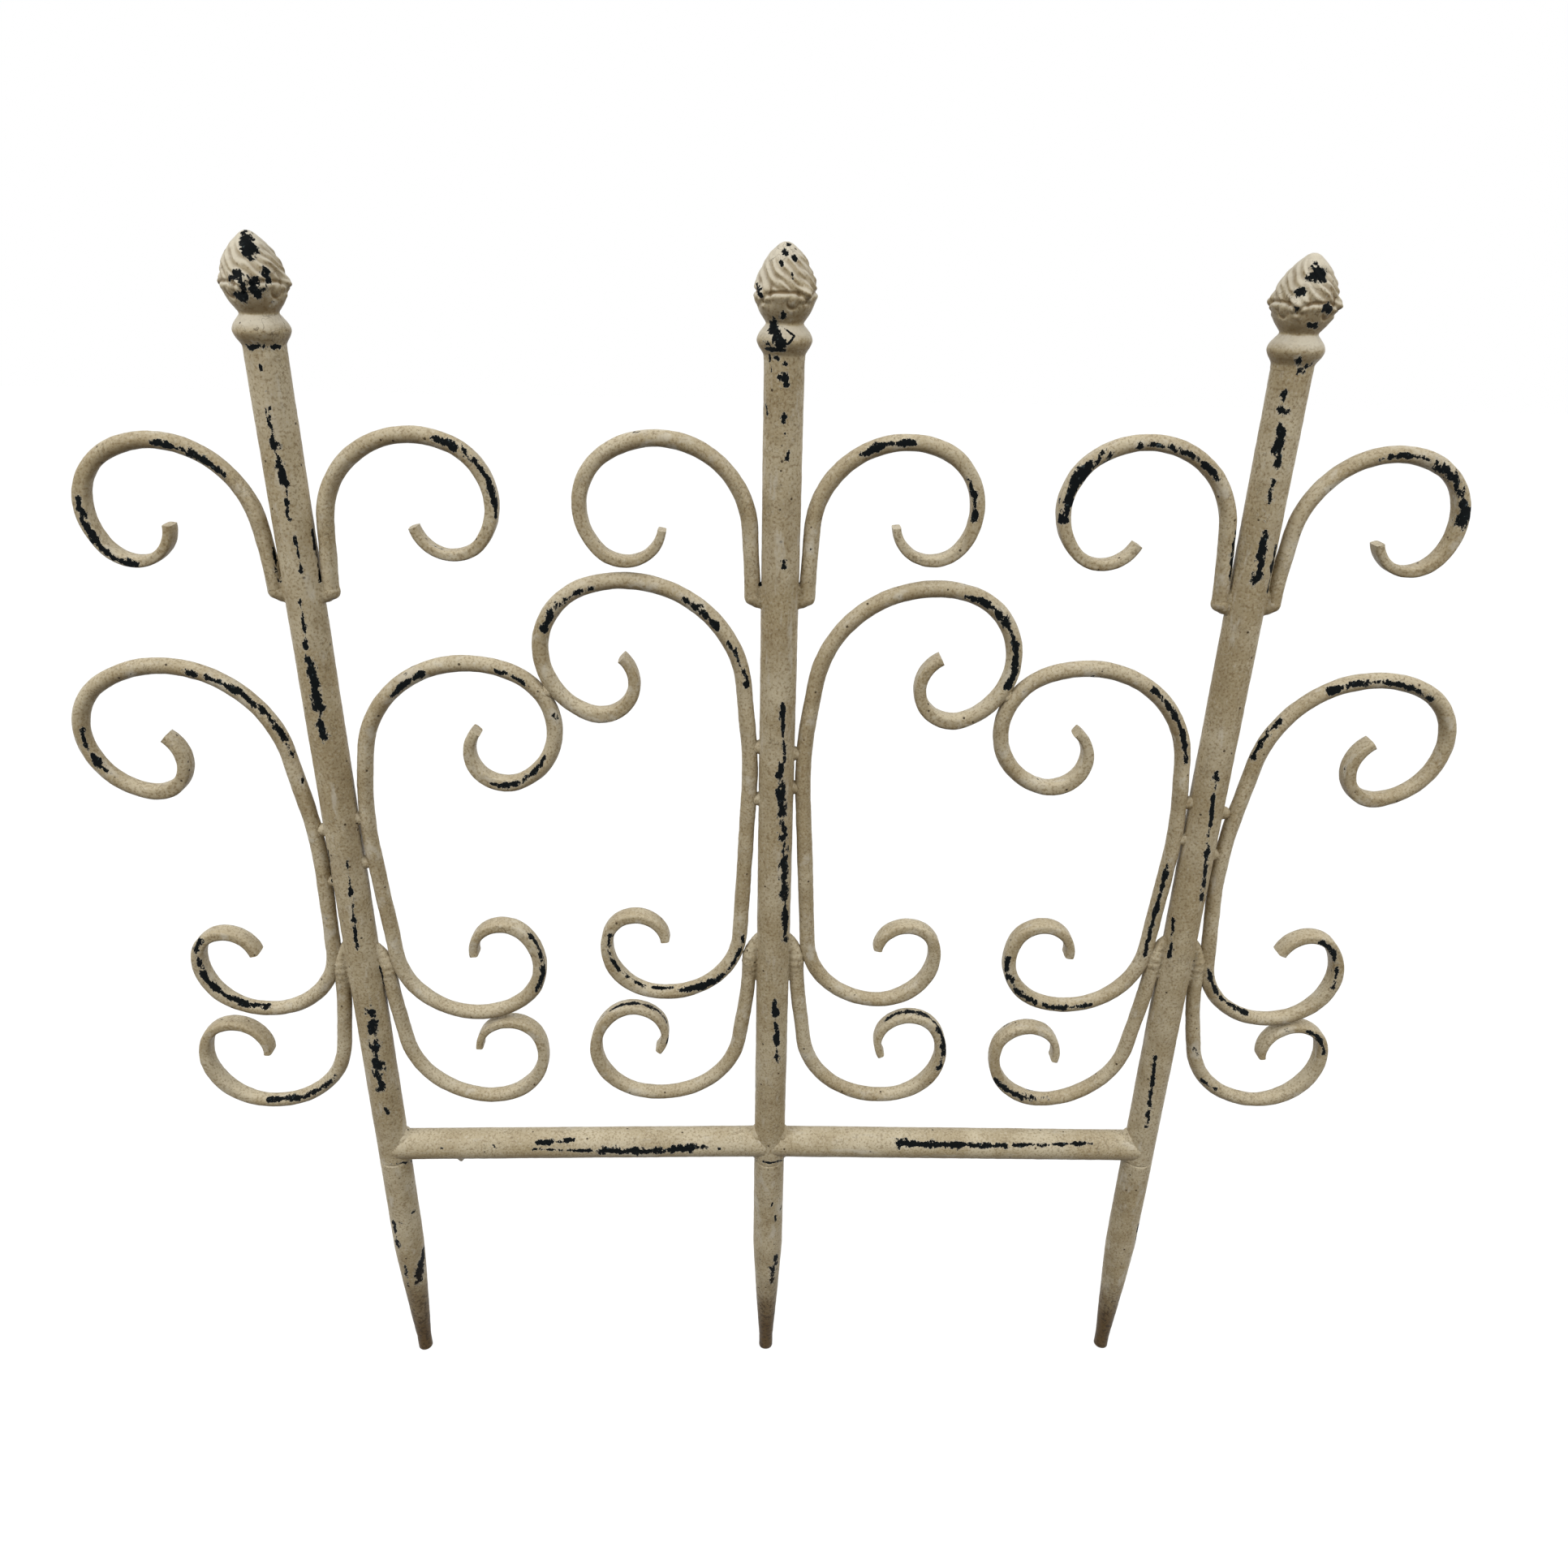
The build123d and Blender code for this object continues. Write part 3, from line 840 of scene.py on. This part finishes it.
def finial_radius(angle, height, turn):
    """The cast bud: a cup of four petals, curled leaf tips between them, and scales above."""
    over = height - POST_TOP
    radius = between(FINIAL_PROFILE, over)
    if over < CUP_BASE:
        return radius
    leaf_angle = 2 * math.pi / LEAVES
    about = round_angle(angle - math.radians(turn))
    tip_off = min(abs(round_angle(about - leaf * leaf_angle)) for leaf in range(LEAVES))
    petal_off = leaf_angle / 2 - tip_off
    fade_in = min(1.0, (over - CUP_BASE) / 3)
    # curled tip on its leaf, which runs down to the neck
    for aside, breadth, height_over, depth, out in LEAF_FORMS:
        form = hill(tip_off * CUP_R - aside, breadth) * hill(over - height_over, depth)
        radius += fade_in * out * form
    # rolled rim of each petal, nearly level, with its right end curled in
    rim = RIM_HEIGHT - RIM_FALL * (petal_off / (leaf_angle / 2)) ** 4
    right_of = (about % leaf_angle - leaf_angle / 2) * CUP_R - CURL_SIDE
    curl = math.hypot(right_of, over - CURL_HEIGHT)
    open_side = 0.5 - 0.5 * math.cos(math.atan2(over - CURL_HEIGHT, right_of) - CURL_OPENS)
    radius += fade_in * (0.40 * hill(curl, 1.4) - 0.70 * open_side * hill(curl - CURL_R, 0.65))
    if over < rim:
        radius += fade_in * 0.45 * hill(rim - over - 1.2, 1.2)
    radius -= 0.60 * hill(over - rim - 0.55, 0.70)
    # soft slanting ridges of the scales, with dimples along them
    if over > rim:
        rise = min(1.0, (over - rim) / 2.0) * max(0.0, min(1.0, (SCALES_END - over) / SCALES_FADE))
        row = over / SCALE_PITCH + SCALE_STARTS * about / (2 * math.pi)
        row += 0.08 * math.sin(3 * about + 0.5 * over) + 0.10 * math.sin(7 * about - 0.3 * over)
        ridge = 0.5 + 0.5 * math.cos(2 * math.pi * row)
        cell = math.cos(about * 15 + 1.1 * over)
        radius += rise * (0.58 * ridge - 0.40 + 0.34 * cell * ridge)
    return radius


def crease_depth(co, x):
    """How deep a point of a bud lies under the smooth profile, from nothing to one."""
    over = co.z / MM - POST_TOP
    if not CUP_BASE < over < CREASES_END:
        return 0.0
    smooth = between(FINIAL_PROFILE, over)
    reach = math.hypot(co.x / MM - x, co.y / MM)
    return max(0.0, min(1.0, (smooth - reach - 0.12) / 0.5))


for name, x in POSTS.items():
    heights = steps_between(POST_TOP, POST_TOP + SCALES_END, BUD_STEP)
    heights += [POST_TOP + over for over in (41.25, 41.5, 41.7, 41.85)]
    turn = FINIAL_TURNS[name]
    bud = round_piece(
        f"pine_bud_{name}",
        x,
        heights,
        BUD_SIDES,
        lambda angle, height: finial_radius(angle, height, turn)
        + dent((x + 9 * math.sin(angle), -9 * math.cos(angle), height), *BUD_DENTS),
        finial_paint,
    )
    # Depths under the profile, which darken the creases as painted shade and dirt
    depths = [crease_depth(vertex.co, x) for vertex in bud.data.vertices]
    bud.data.attributes.new("crease", "FLOAT", "POINT").data.foreach_set("value", depths)
    stand_for(bud, "finial_paint", f"finial_{name}")


# Welds: the steel beside each weld is joined to it, melted together and smoothed
def ball(bm, centre, radius):
    """A lump of weld."""
    matrix = Matrix.Translation(Vector(centre) * MM)
    bmesh.ops.create_icosphere(bm, subdivisions=3, radius=radius * MM, matrix=matrix)


def stub(bm, low, high, radius):
    """A short length of tube or bar between two points."""
    low, high = Vector(low) * MM, Vector(high) * MM
    turn = (high - low).to_track_quat("Z", "Y").to_matrix().to_4x4()
    bmesh.ops.create_cone(
        bm,
        cap_ends=True,
        segments=40,
        radius1=radius * MM,
        radius2=radius * MM,
        depth=(high - low).length,
        matrix=Matrix.Translation((low + high) / 2) @ turn,
    )


def melted(name, bm, grain=0.00055, passes=8):
    """Joins overlapping solids into one skin with soft corners and a grainy surface."""
    mesh = bpy.data.meshes.new(name)
    bm.to_mesh(mesh)
    bm.free()
    made = new_object(name, mesh)
    remesh = made.modifiers.new("melt", "REMESH")
    remesh.mode = "VOXEL"
    remesh.voxel_size = grain
    soften = made.modifiers.new("soften", "SMOOTH")
    soften.factor = 0.5
    soften.iterations = passes
    made = finished(made, name)
    mesh = made.data
    points = np.empty((len(mesh.vertices), 3))
    normals = np.empty_like(points)
    mesh.vertices.foreach_get("co", points.ravel())
    mesh.vertices.foreach_get("normal", normals.ravel())
    lifts = np.array([dent(point, *WELD_DENTS) * MM for point in points / MM])
    mesh.vertices.foreach_set("co", (points + normals * lifts[:, None]).ravel())
    mesh.shade_smooth()
    mesh.materials.clear()
    mesh.materials.append(weld_paint)
    return made


# How deep the ends of a weld's skin lie under the paint beside it
UNDER_PAINT = 0.34

# Stretches of post and bar that a weld's skin takes in, below and above its middle or its foot
FOOT_POST = (-9, 12)
FOOT_BAR = (0, 9)
SMALL_POST = (-6, 6)
LARGE_POST = (-16, 14)
LARGE_BAR = (-14, 2)
RAIL_POST = (-14, 14)
RAIL_STRETCH = 17

# Lumps of the foot weld under an upper scroll: over the foot, in towards the post, radius
FOOT_LUMPS = ((2.6, 0.0, 3.7), (1.0, 2.0, 3.2))
FOOT_RUN_R = 2.3

# Small beads between stem and post: from the post, radius
SMALL_BEAD = (0.8, 3.2)

# Lumps of the large weld over a lower scroll, as for the foot weld; then the beads of its run along
# the post, over the foot, and how far they lie from the post's middle
LARGE_LUMPS = (
    (-9.5, 0.3, 3.5),
    (-6.5, 0.2, 3.9),
    (-3.0, 0.2, 4.2),
    (0.5, 0.4, 4.1),
    (3.5, 1.0, 3.6),
    (6.2, 1.9, 3.1),
    (8.8, 2.8, 2.5),
    (11.0, 3.6, 1.8),
)
LARGE_RUN = (-9, -6, -3, 0, 3, 6, 8)
LARGE_RUN_OUT = 8.4

post_skin = POST_R - UNDER_PAINT


def sleeve(bm, x, height, stretch, radius):
    """The upright stretch of a post or bar beside a weld."""
    low, high = stretch
    stub(bm, (x, 0, height + low), (x, 0, height + high), radius)


for place, (post_x, side) in PLACES.items():
    bm = bmesh.new()
    foot_x = post_x + side * FOOT_OFFSET
    foot = UPPER_FOOT_HEIGHT
    sleeve(bm, post_x, foot, FOOT_POST, post_skin)
    for rise, inward, radius in FOOT_LUMPS:
        ball(bm, (foot_x - side * inward, 0, foot + rise), radius)
    sleeve(bm, foot_x, foot, FOOT_BAR, UPPER_BAR_D / 2 - UNDER_PAINT)
    stub(bm, (post_x + side * 7.6, 0, foot - 2.0), (post_x + side * 8.6, 0, foot + 7), FOOT_RUN_R)
    out, radius = SMALL_BEAD
    for height in SMALL_WELD_HEIGHTS[place]:
        sleeve(bm, post_x, height, SMALL_POST, post_skin)
        ball(bm, (post_x + side * (POST_R + out), 0, height), radius)
    foot = LOWER_FOOT_HEIGHTS[place]
    sleeve(bm, post_x, foot, LARGE_POST, post_skin)
    sleeve(bm, foot_x, foot, LARGE_BAR, BAR_D / 2 - UNDER_PAINT)
    for rise, inward, radius in LARGE_LUMPS:
        ball(bm, (foot_x - side * inward, 0, foot + rise), radius)
    for rise in LARGE_RUN:
        radius = 2.6 + 0.3 * math.sin(2.3 * rise + post_x)
        ball(bm, (post_x + side * LARGE_RUN_OUT, 0, foot + rise), radius)
    piece = melted(f"scroll_weld_{place}", bm, passes=12)
    stand_for(piece, "weld_paint", f"scroll_welds_{place}")

# Rail beads: each side of the middle one, the degrees between them, and how they shrink outwards
RAIL_BEADS = 4
BEAD_TURN = 9
BEAD_R = 1.9
BEAD_SHRINK = 0.16
for node_name, post, side in (
    ("left", "left", 1),
    ("middle_left", "middle", -1),
    ("middle_right", "middle", 1),
    ("right", "right", -1),
):
    x = POSTS[post]
    height = RAIL_HEIGHTS[post]
    climb = RAIL_RISE / POST_SPACING * (-1 if post == "middle" else 1)
    bm = bmesh.new()
    sleeve(bm, x, height, RAIL_POST, post_skin)
    stub(bm, (x, 0, height), (x + side * RAIL_STRETCH, 0, height + RAIL_STRETCH * climb), post_skin)
    for lift in (-1, 1):
        for step in range(-RAIL_BEADS, RAIL_BEADS + 1):
            turn = math.radians(step * BEAD_TURN)
            reach = POST_R * math.cos(turn)
            bead = BEAD_R - BEAD_SHRINK * abs(step)
            ball(bm, (x + side * reach, POST_R * math.sin(turn), height + lift * reach), bead)
    piece = melted(f"rail_weld_{node_name}", bm, passes=14)
    stand_for(piece, "weld_paint", f"rail_welds_{node_name}")

# Tie weld lumps: over the middle, radius
TIE_LUMPS = ((0.0, 2.9), (2.0, 2.2), (-2.2, 2.0))
for name in ("left", "right"):
    low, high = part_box(f"tie_weld_{name}")
    bm = bmesh.new()
    centre = (low + high) / 2 / MM
    for rise, radius in TIE_LUMPS:
        ball(bm, centre + Vector((0, 0, rise)), radius)
    piece = melted(f"tie_weld_bead_{name}", bm, 0.0004)
    stand_for(piece, "weld_paint", f"tie_weld_{name}")


# Wear: strokes of bare steel as the photograph shows them, in its pixels, each with its half width in mm; a
# few post strokes are painted shade, dark lines in gaps beside the posts. Those on scrolls have their two
# ends only, and follow the bar between them.
POST_WEAR_AND_GAP_SHADE = (
    (0.7, ((321, 450), (322, 455))),
    (0.5, ((329, 482), (331, 486))),
    (1.2, ((330, 505), (339, 548), (350, 600))),
    (0.9, ((352, 604), (357, 640))),
    # Painted shade: these two strokes are dark lines in the gaps on each side of the left post
    (0.7, ((404, 1047), (409, 1082), (414, 1112), (420, 1162))),
    (0.6, ((468, 1190), (480, 1243))),
    (0.7, ((362, 655), (372, 705))),
    (0.7, ((370, 740), (378, 800))),
    (1.6, ((381, 812), (390, 860), (399, 908))),
    (0.8, ((428, 1062), (440, 1168))),
    (2.0, ((457, 1245), (463, 1290), (470, 1343))),
    (0.8, ((455, 1225), (458, 1240))),
    (0.8, ((475, 1365), (476, 1369))),
    (1.2, ((485, 1508), (490, 1536))),
    (2.2, ((522, 1540), (519, 1560), (516, 1578))),
    (0.9, ((499, 1560), (503, 1584))),
    (0.8, ((496, 1507), (498, 1509))),
    (0.7, ((508, 1494), (511, 1492))),
    (0.6, ((482, 1435), (508, 1431))),
    (0.8, ((503, 1392), (507, 1390))),
    (0.6, ((931, 1430), (949, 1433), (967, 1429))),
    (0.8, ((951, 1483), (951, 1486))),
    (0.8, ((955, 1498), (955, 1504))),
    (1.6, ((956, 1548), (952, 1580))),
    (0.6, ((948, 1561), (951, 1563))),
    (0.9, ((477, 1370), (479, 1372))),
    (0.8, ((956, 441), (958, 442))),
    (0.7, ((967, 448), (969, 449))),
    (0.45, ((948, 437), (951, 458))),
    (0.9, ((959, 465), (967, 466))),
    (1.0, ((967, 461), (968, 474))),
    (0.6, ((944, 499), (946, 512))),
    (0.8, ((965, 513), (966, 521))),
    (0.6, ((967, 534), (969, 537))),
    (0.7, ((972, 555), (969, 566))),
    (0.8, ((965, 693), (966, 699))),
    (0.9, ((963, 866), (967, 938))),
    (1.7, ((961, 944), (966, 1050), (968, 1158))),
    (1.2, ((955, 1232), (958, 1308))),
    (1.4, ((1582, 484), (1577, 530), (1571, 580))),
    (1.0, ((1569, 592), (1561, 640))),
    (1.7, ((1556, 657), (1550, 713))),
    (1.0, ((1499, 952), (1490, 1030), (1481, 1108))),
    (0.9, ((1446, 1132), (1441, 1178))),
    (0.9, ((1424, 1302), (1413, 1388))),
    (1.0, ((1402, 1510), (1398, 1540))),
    # Painted shade: these six strokes are dark lines in the gaps between the foot bars and both sides of each
    # post
    (0.9, ((337, 676), (343, 716))),
    (0.9, ((385, 655), (395, 716))),
    (0.9, ((936, 678), (938, 720))),
    (0.9, ((987, 664), (985, 720))),
    (0.9, ((1522, 655), (1515, 720))),
    (0.9, ((1572, 674), (1562, 728))),
)
RAIL_WEAR = (
    (1.0, ((661, 1408), (706, 1405))),
    (0.7, ((658, 1416), (736, 1418))),
    (1.8, ((740, 1418), (800, 1419), (868, 1413))),
    (0.7, ((609, 1412), (611, 1414))),
    (0.7, ((543, 1415), (545, 1415))),
    (0.8, ((886, 1415), (888, 1415))),
    (1.5, ((1107, 1409), (1170, 1411), (1238, 1412))),
    (0.9, ((1250, 1411), (1345, 1409))),
)
SCROLL_WEAR = (
    (1.3, ((190, 549), (274, 590))),
    (1.3, ((95, 612), (168, 700))),
    (1.2, ((536, 541), (611, 638))),
    (1.2, ((1062, 560), (1129, 546))),
    (1.1, ((1191, 592), (1199, 638))),
    (2.3, ((1312, 638), (1363, 563))),
    (1.1, ((1402, 551), (1499, 590))),
    (1.0, ((1691, 575), (1760, 566))),
    (2.1, ((1772, 572), (1807, 648))),
    (1.0, ((1780, 688), (1783, 694))),
    (1.2, ((101, 901), (129, 949))),
    (1.2, ((232, 830), (369, 949))),
    (1.2, ((486, 860), (519, 831))),
    (1.0, ((611, 831), (649, 849))),
    (1.0, ((669, 931), (602, 969))),
    (1.4, ((671, 774), (734, 731))),
    (1.2, ((836, 736), (884, 774))),
    (1.1, ((896, 791), (924, 859))),
    (1.4, ((1191, 736), (1249, 849))),
    (1.1, ((1421, 851), (1464, 949))),
    (1.2, ((1531, 929), (1569, 881))),
    (1.2, ((1641, 851), (1759, 869))),
    (2.2, ((986, 1072), (994, 1143))),
    (1.2, ((244, 1157), (329, 1239))),
    (1.1, ((656, 1152), (664, 1218))),
    (0.9, ((751, 1152), (830, 1215))),
    (1.0, ((861, 1224), (919, 1152))),
    (1.3, ((1241, 1182), (1344, 1239))),
    (1.0, ((1429, 1102), (1411, 1178))),
    (1.2, ((1491, 1192), (1539, 1239))),
    (1.2, ((1626, 1166), (1654, 1224))),
    (1.2, ((331, 1354), (414, 1326))),
    (0.9, ((751, 1242), (824, 1289))),
    (1.5, ((836, 1220), (900, 1205))),
    (1.2, ((655, 1155), (661, 1222))),
    (1.3, ((1086, 1252), (1164, 1319))),
    (1.2, ((1226, 1331), (1289, 1354))),
    (1.1, ((1481, 1331), (1499, 1344))),
    (1.1, ((1606, 1281), (1634, 1299))),
)
FINIAL_WEAR = (
    (3.0, ((306, 293), (309, 309))),
    (1.3, ((296, 341), (300, 352), (297, 368))),
    (2.2, ((313, 350), (318, 359))),
    (1.3, ((325, 330), (331, 345))),
    (1.6, ((283, 343), (294, 339))),
    (1.1, ((306, 428), (345, 427))),
    (1.9, ((953, 402), (957, 416), (964, 424))),
    (0.8, ((966, 384), (964, 391))),
    (0.9, ((942, 421), (946, 423))),
    (0.7, ((944, 430), (966, 432))),
    (0.35, ((963, 402), (979, 414), (971, 424))),
    (0.9, ((933, 354), (935, 357))),
    (0.8, ((935, 363), (937, 365))),
    (0.9, ((966, 310), (968, 312))),
    (0.9, ((978, 316), (979, 319))),
    (0.9, ((962, 323), (963, 326))),
    (0.9, ((976, 338), (976, 343))),
    (0.8, ((971, 300), (972, 301))),
    (2.0, ((1620, 335), (1627, 341))),
    (1.2, ((1612, 330), (1620, 326))),
    (1.1, ((1601, 358), (1604, 362))),
    (1.1, ((1600, 380), (1597, 381))),
    (1.3, ((1636, 379), (1639, 382))),
    (1.2, ((1613, 399), (1621, 402))),
    (1.1, ((1600, 445), (1600, 456), (1614, 451))),
)


# In the photograph's pixels: how far from a scroll's middle line a stroke may lie, and its steps
BAR_REACH = 4.6
STROKE_STEP = 1.5

# In metres: how far outside a piece a stroke can still reach it
WEAR_REACH = 0.006


def pixel_of(point):
    """Place in the photograph, in pixels, of a point of the panel."""
    seen = Vector(point) - eye
    scale = FOCAL_PIXELS / seen.dot(forward)
    return Vector((PHOTO_WIDTH / 2 + seen.dot(right) * scale, PHOTO_WIDTH / 2 - seen.dot(up_axis) * scale))


def hit_under(px, py):
    """The first point of a piece under a pixel of the photograph."""
    beam = right * (px - PHOTO_WIDTH / 2) + up_axis * (PHOTO_WIDTH / 2 - py) + forward * FOCAL_PIXELS
    hits = [shell.ray_cast(eye, beam.normalized()) for shell in shells]
    hits = [(distance, hit) for hit, _, _, distance in hits if hit is not None]
    return min(hits)[1] if hits else None


def along_bar(pixels):
    """The stroke between its two ends, bent so that it follows the scroll that it lies on."""
    ends = [Vector(pixel) for pixel in pixels]
    reaches = [[min((spot - end).length for spot in line) for end in ends] for line in bar_lines]
    line = bar_lines[min(range(len(bar_lines)), key=lambda index: sum(reaches[index]))]
    first, last = (min(range(len(line)), key=lambda index: (line[index] - end).length) for end in ends)
    step = 1 if last >= first else -1
    stroke = []
    for index in range(first, last + step, step):
        share = (index - first) / (last - first) if last != first else 0.0
        before, after = line[max(0, index - 1)], line[min(len(line) - 1, index + 1)]
        across = Vector((before.y - after.y, after.x - before.x)).normalized()
        offsets = []
        for end, at in zip(ends, (first, last)):
            low, high = line[max(0, at - 1)], line[min(len(line) - 1, at + 1)]
            square = Vector((low.y - high.y, high.x - low.x)).normalized()
            offsets.append(max(-BAR_REACH, min(BAR_REACH, (end - line[at]).dot(square))))
        stroke.append(line[index] + across * (offsets[0] * (1 - share) + offsets[1] * share))
    return stroke


def chip_and_shade_samples(strokes, follow):
    """Points on the pieces under each stroke, with the half width of its dark mark there, a chip through the
    paint or a painted shade line.
    """
    samples = []
    for half_width, pixels in strokes:
        pixels = along_bar(pixels) if follow else [Vector(pixel) for pixel in pixels]
        for one, other in zip(pixels, pixels[1:]):
            count = max(1, round((other - one).length / STROKE_STEP))
            for step in range(count + 1):
                px, py = one.lerp(other, step / count)
                hit = hit_under(px, py)
                if hit is not None:
                    wobble = 1 + 0.7 * noise.noise(Vector((px, py, 0)) * 0.07)
                    samples.append((*hit, half_width * wobble * MM))
    return samples


eye = Vector(CAMERA_PLACE) * MM
depsgraph = bpy.context.evaluated_depsgraph_get()
shells = [BVHTree.FromObject(piece, depsgraph) for piece in painted_pieces]
bar_lines = [[pixel_of(point) for point in path] for path in bar_paths]
samples = np.array(
    chip_and_shade_samples(POST_WEAR_AND_GAP_SHADE + RAIL_WEAR + FINIAL_WEAR, False) + chip_and_shade_samples(SCROLL_WEAR, True)
)
for piece in painted_pieces:
    mesh = piece.data
    points = np.empty(len(mesh.vertices) * 3)
    mesh.vertices.foreach_get("co", points)
    points = points.reshape(-1, 3)
    low, high = points.min(axis=0) - WEAR_REACH, points.max(axis=0) + WEAR_REACH
    inside = (samples[:, :3] > low) & (samples[:, :3] < high)
    # Dark marks kept on each piece: chips, and painted shade lines in gaps
    worn = np.zeros(len(points))
    for x, y, z, half_width in samples[inside.all(axis=1)]:
        close = np.abs(points - (x, y, z)).max(axis=1) < 2 * half_width
        distance = np.linalg.norm(points[close] - (x, y, z), axis=1)
        worn[close] = np.maximum(worn[close], 1 - distance / (2 * half_width))
    attribute = mesh.attributes.new("worn", "FLOAT", "POINT")
    attribute.data.foreach_set("value", worn)
    if "crease" not in mesh.attributes:
        mesh.attributes.new("crease", "FLOAT", "POINT")


# Floor, backdrop and light: the floor's grey to the light and its white to the camera, the sky's
# light from low to high, and the heights between which it changes
FLOOR_REACH = 4.0
FLOOR_GREY = 0.14
FLOOR_WHITE = 0.93
SKY_LIGHT = (0.14, 1.0)
SKY_HEIGHTS = (-0.1, 0.95)
LIGHT_AIM = Vector((0, 0, 0.3))


def seen_directly(tree, otherwise, seen):
    """One strength for the camera and for what shows in gloss and glass, another for the light."""
    path = node(tree, "ShaderNodeLightPath").outputs
    direct = calc(tree, "MAXIMUM", path["Is Camera Ray"], path["Is Glossy Ray"])
    direct = calc(tree, "MAXIMUM", direct, path["Is Transmission Ray"])
    return ramp(tree, direct, 0.0, 1.0, otherwise, seen, smooth=False)


def white_floor_finish():
    """Matt white that takes the panel's shadow, and is white to the camera and in reflections."""
    material = bpy.data.materials.new("white floor")
    material.use_nodes = True
    tree = material.node_tree
    tree.nodes.clear()
    matte = node(tree, "ShaderNodeBsdfDiffuse", {"Color": (FLOOR_GREY, FLOOR_GREY, FLOOR_GREY, 1.0)})
    glow = node(tree, "ShaderNodeEmission", {"Strength": seen_directly(tree, 0.0, FLOOR_WHITE)})
    both = node(tree, "ShaderNodeAddShader", {0: matte.outputs[0], 1: glow.outputs[0]})
    node(tree, "ShaderNodeOutputMaterial", {"Surface": both.outputs[0]})
    return material


floor_mesh = bpy.data.meshes.new("white floor")
corners = [(-1, -1, 0), (1, -1, 0), (1, 1, 0), (-1, 1, 0)]
floor_mesh.from_pydata([Vector(corner) * FLOOR_REACH for corner in corners], [], [(0, 1, 2, 3)])
floor_mesh.materials.append(white_floor_finish())
floor = new_object("white_floor", floor_mesh)

world = bpy.data.worlds.new("studio")
world.use_nodes = True
bpy.context.scene.world = world
background = world.node_tree.nodes["Background"]
background.inputs["Color"].default_value = (1, 1, 1, 1)
sky = node(world.node_tree, "ShaderNodeTexCoord").outputs["Generated"]
sky_height = node(world.node_tree, "ShaderNodeSeparateXYZ", {0: sky}).outputs[2]
sky_light = ramp(world.node_tree, sky_height, *SKY_HEIGHTS, *SKY_LIGHT)
world.node_tree.links.new(seen_directly(world.node_tree, sky_light, 1.0), background.inputs["Strength"])


def softbox(name, place, size, power):
    """A square soft light that looks at the middle of the panel."""
    data = bpy.data.lights.new(name, "AREA")
    data.size = size
    data.energy = power
    made = new_object(name, data)
    made.location = place
    aim = LIGHT_AIM - Vector(place)
    made.rotation_euler = aim.to_track_quat("-Z", "Y").to_euler()


softbox("left soft light", (-1.3, -1.0, 1.6), 0.8, 16.0)
softbox("right soft light", (1.4, -1.1, 1.3), 0.8, 11.0)
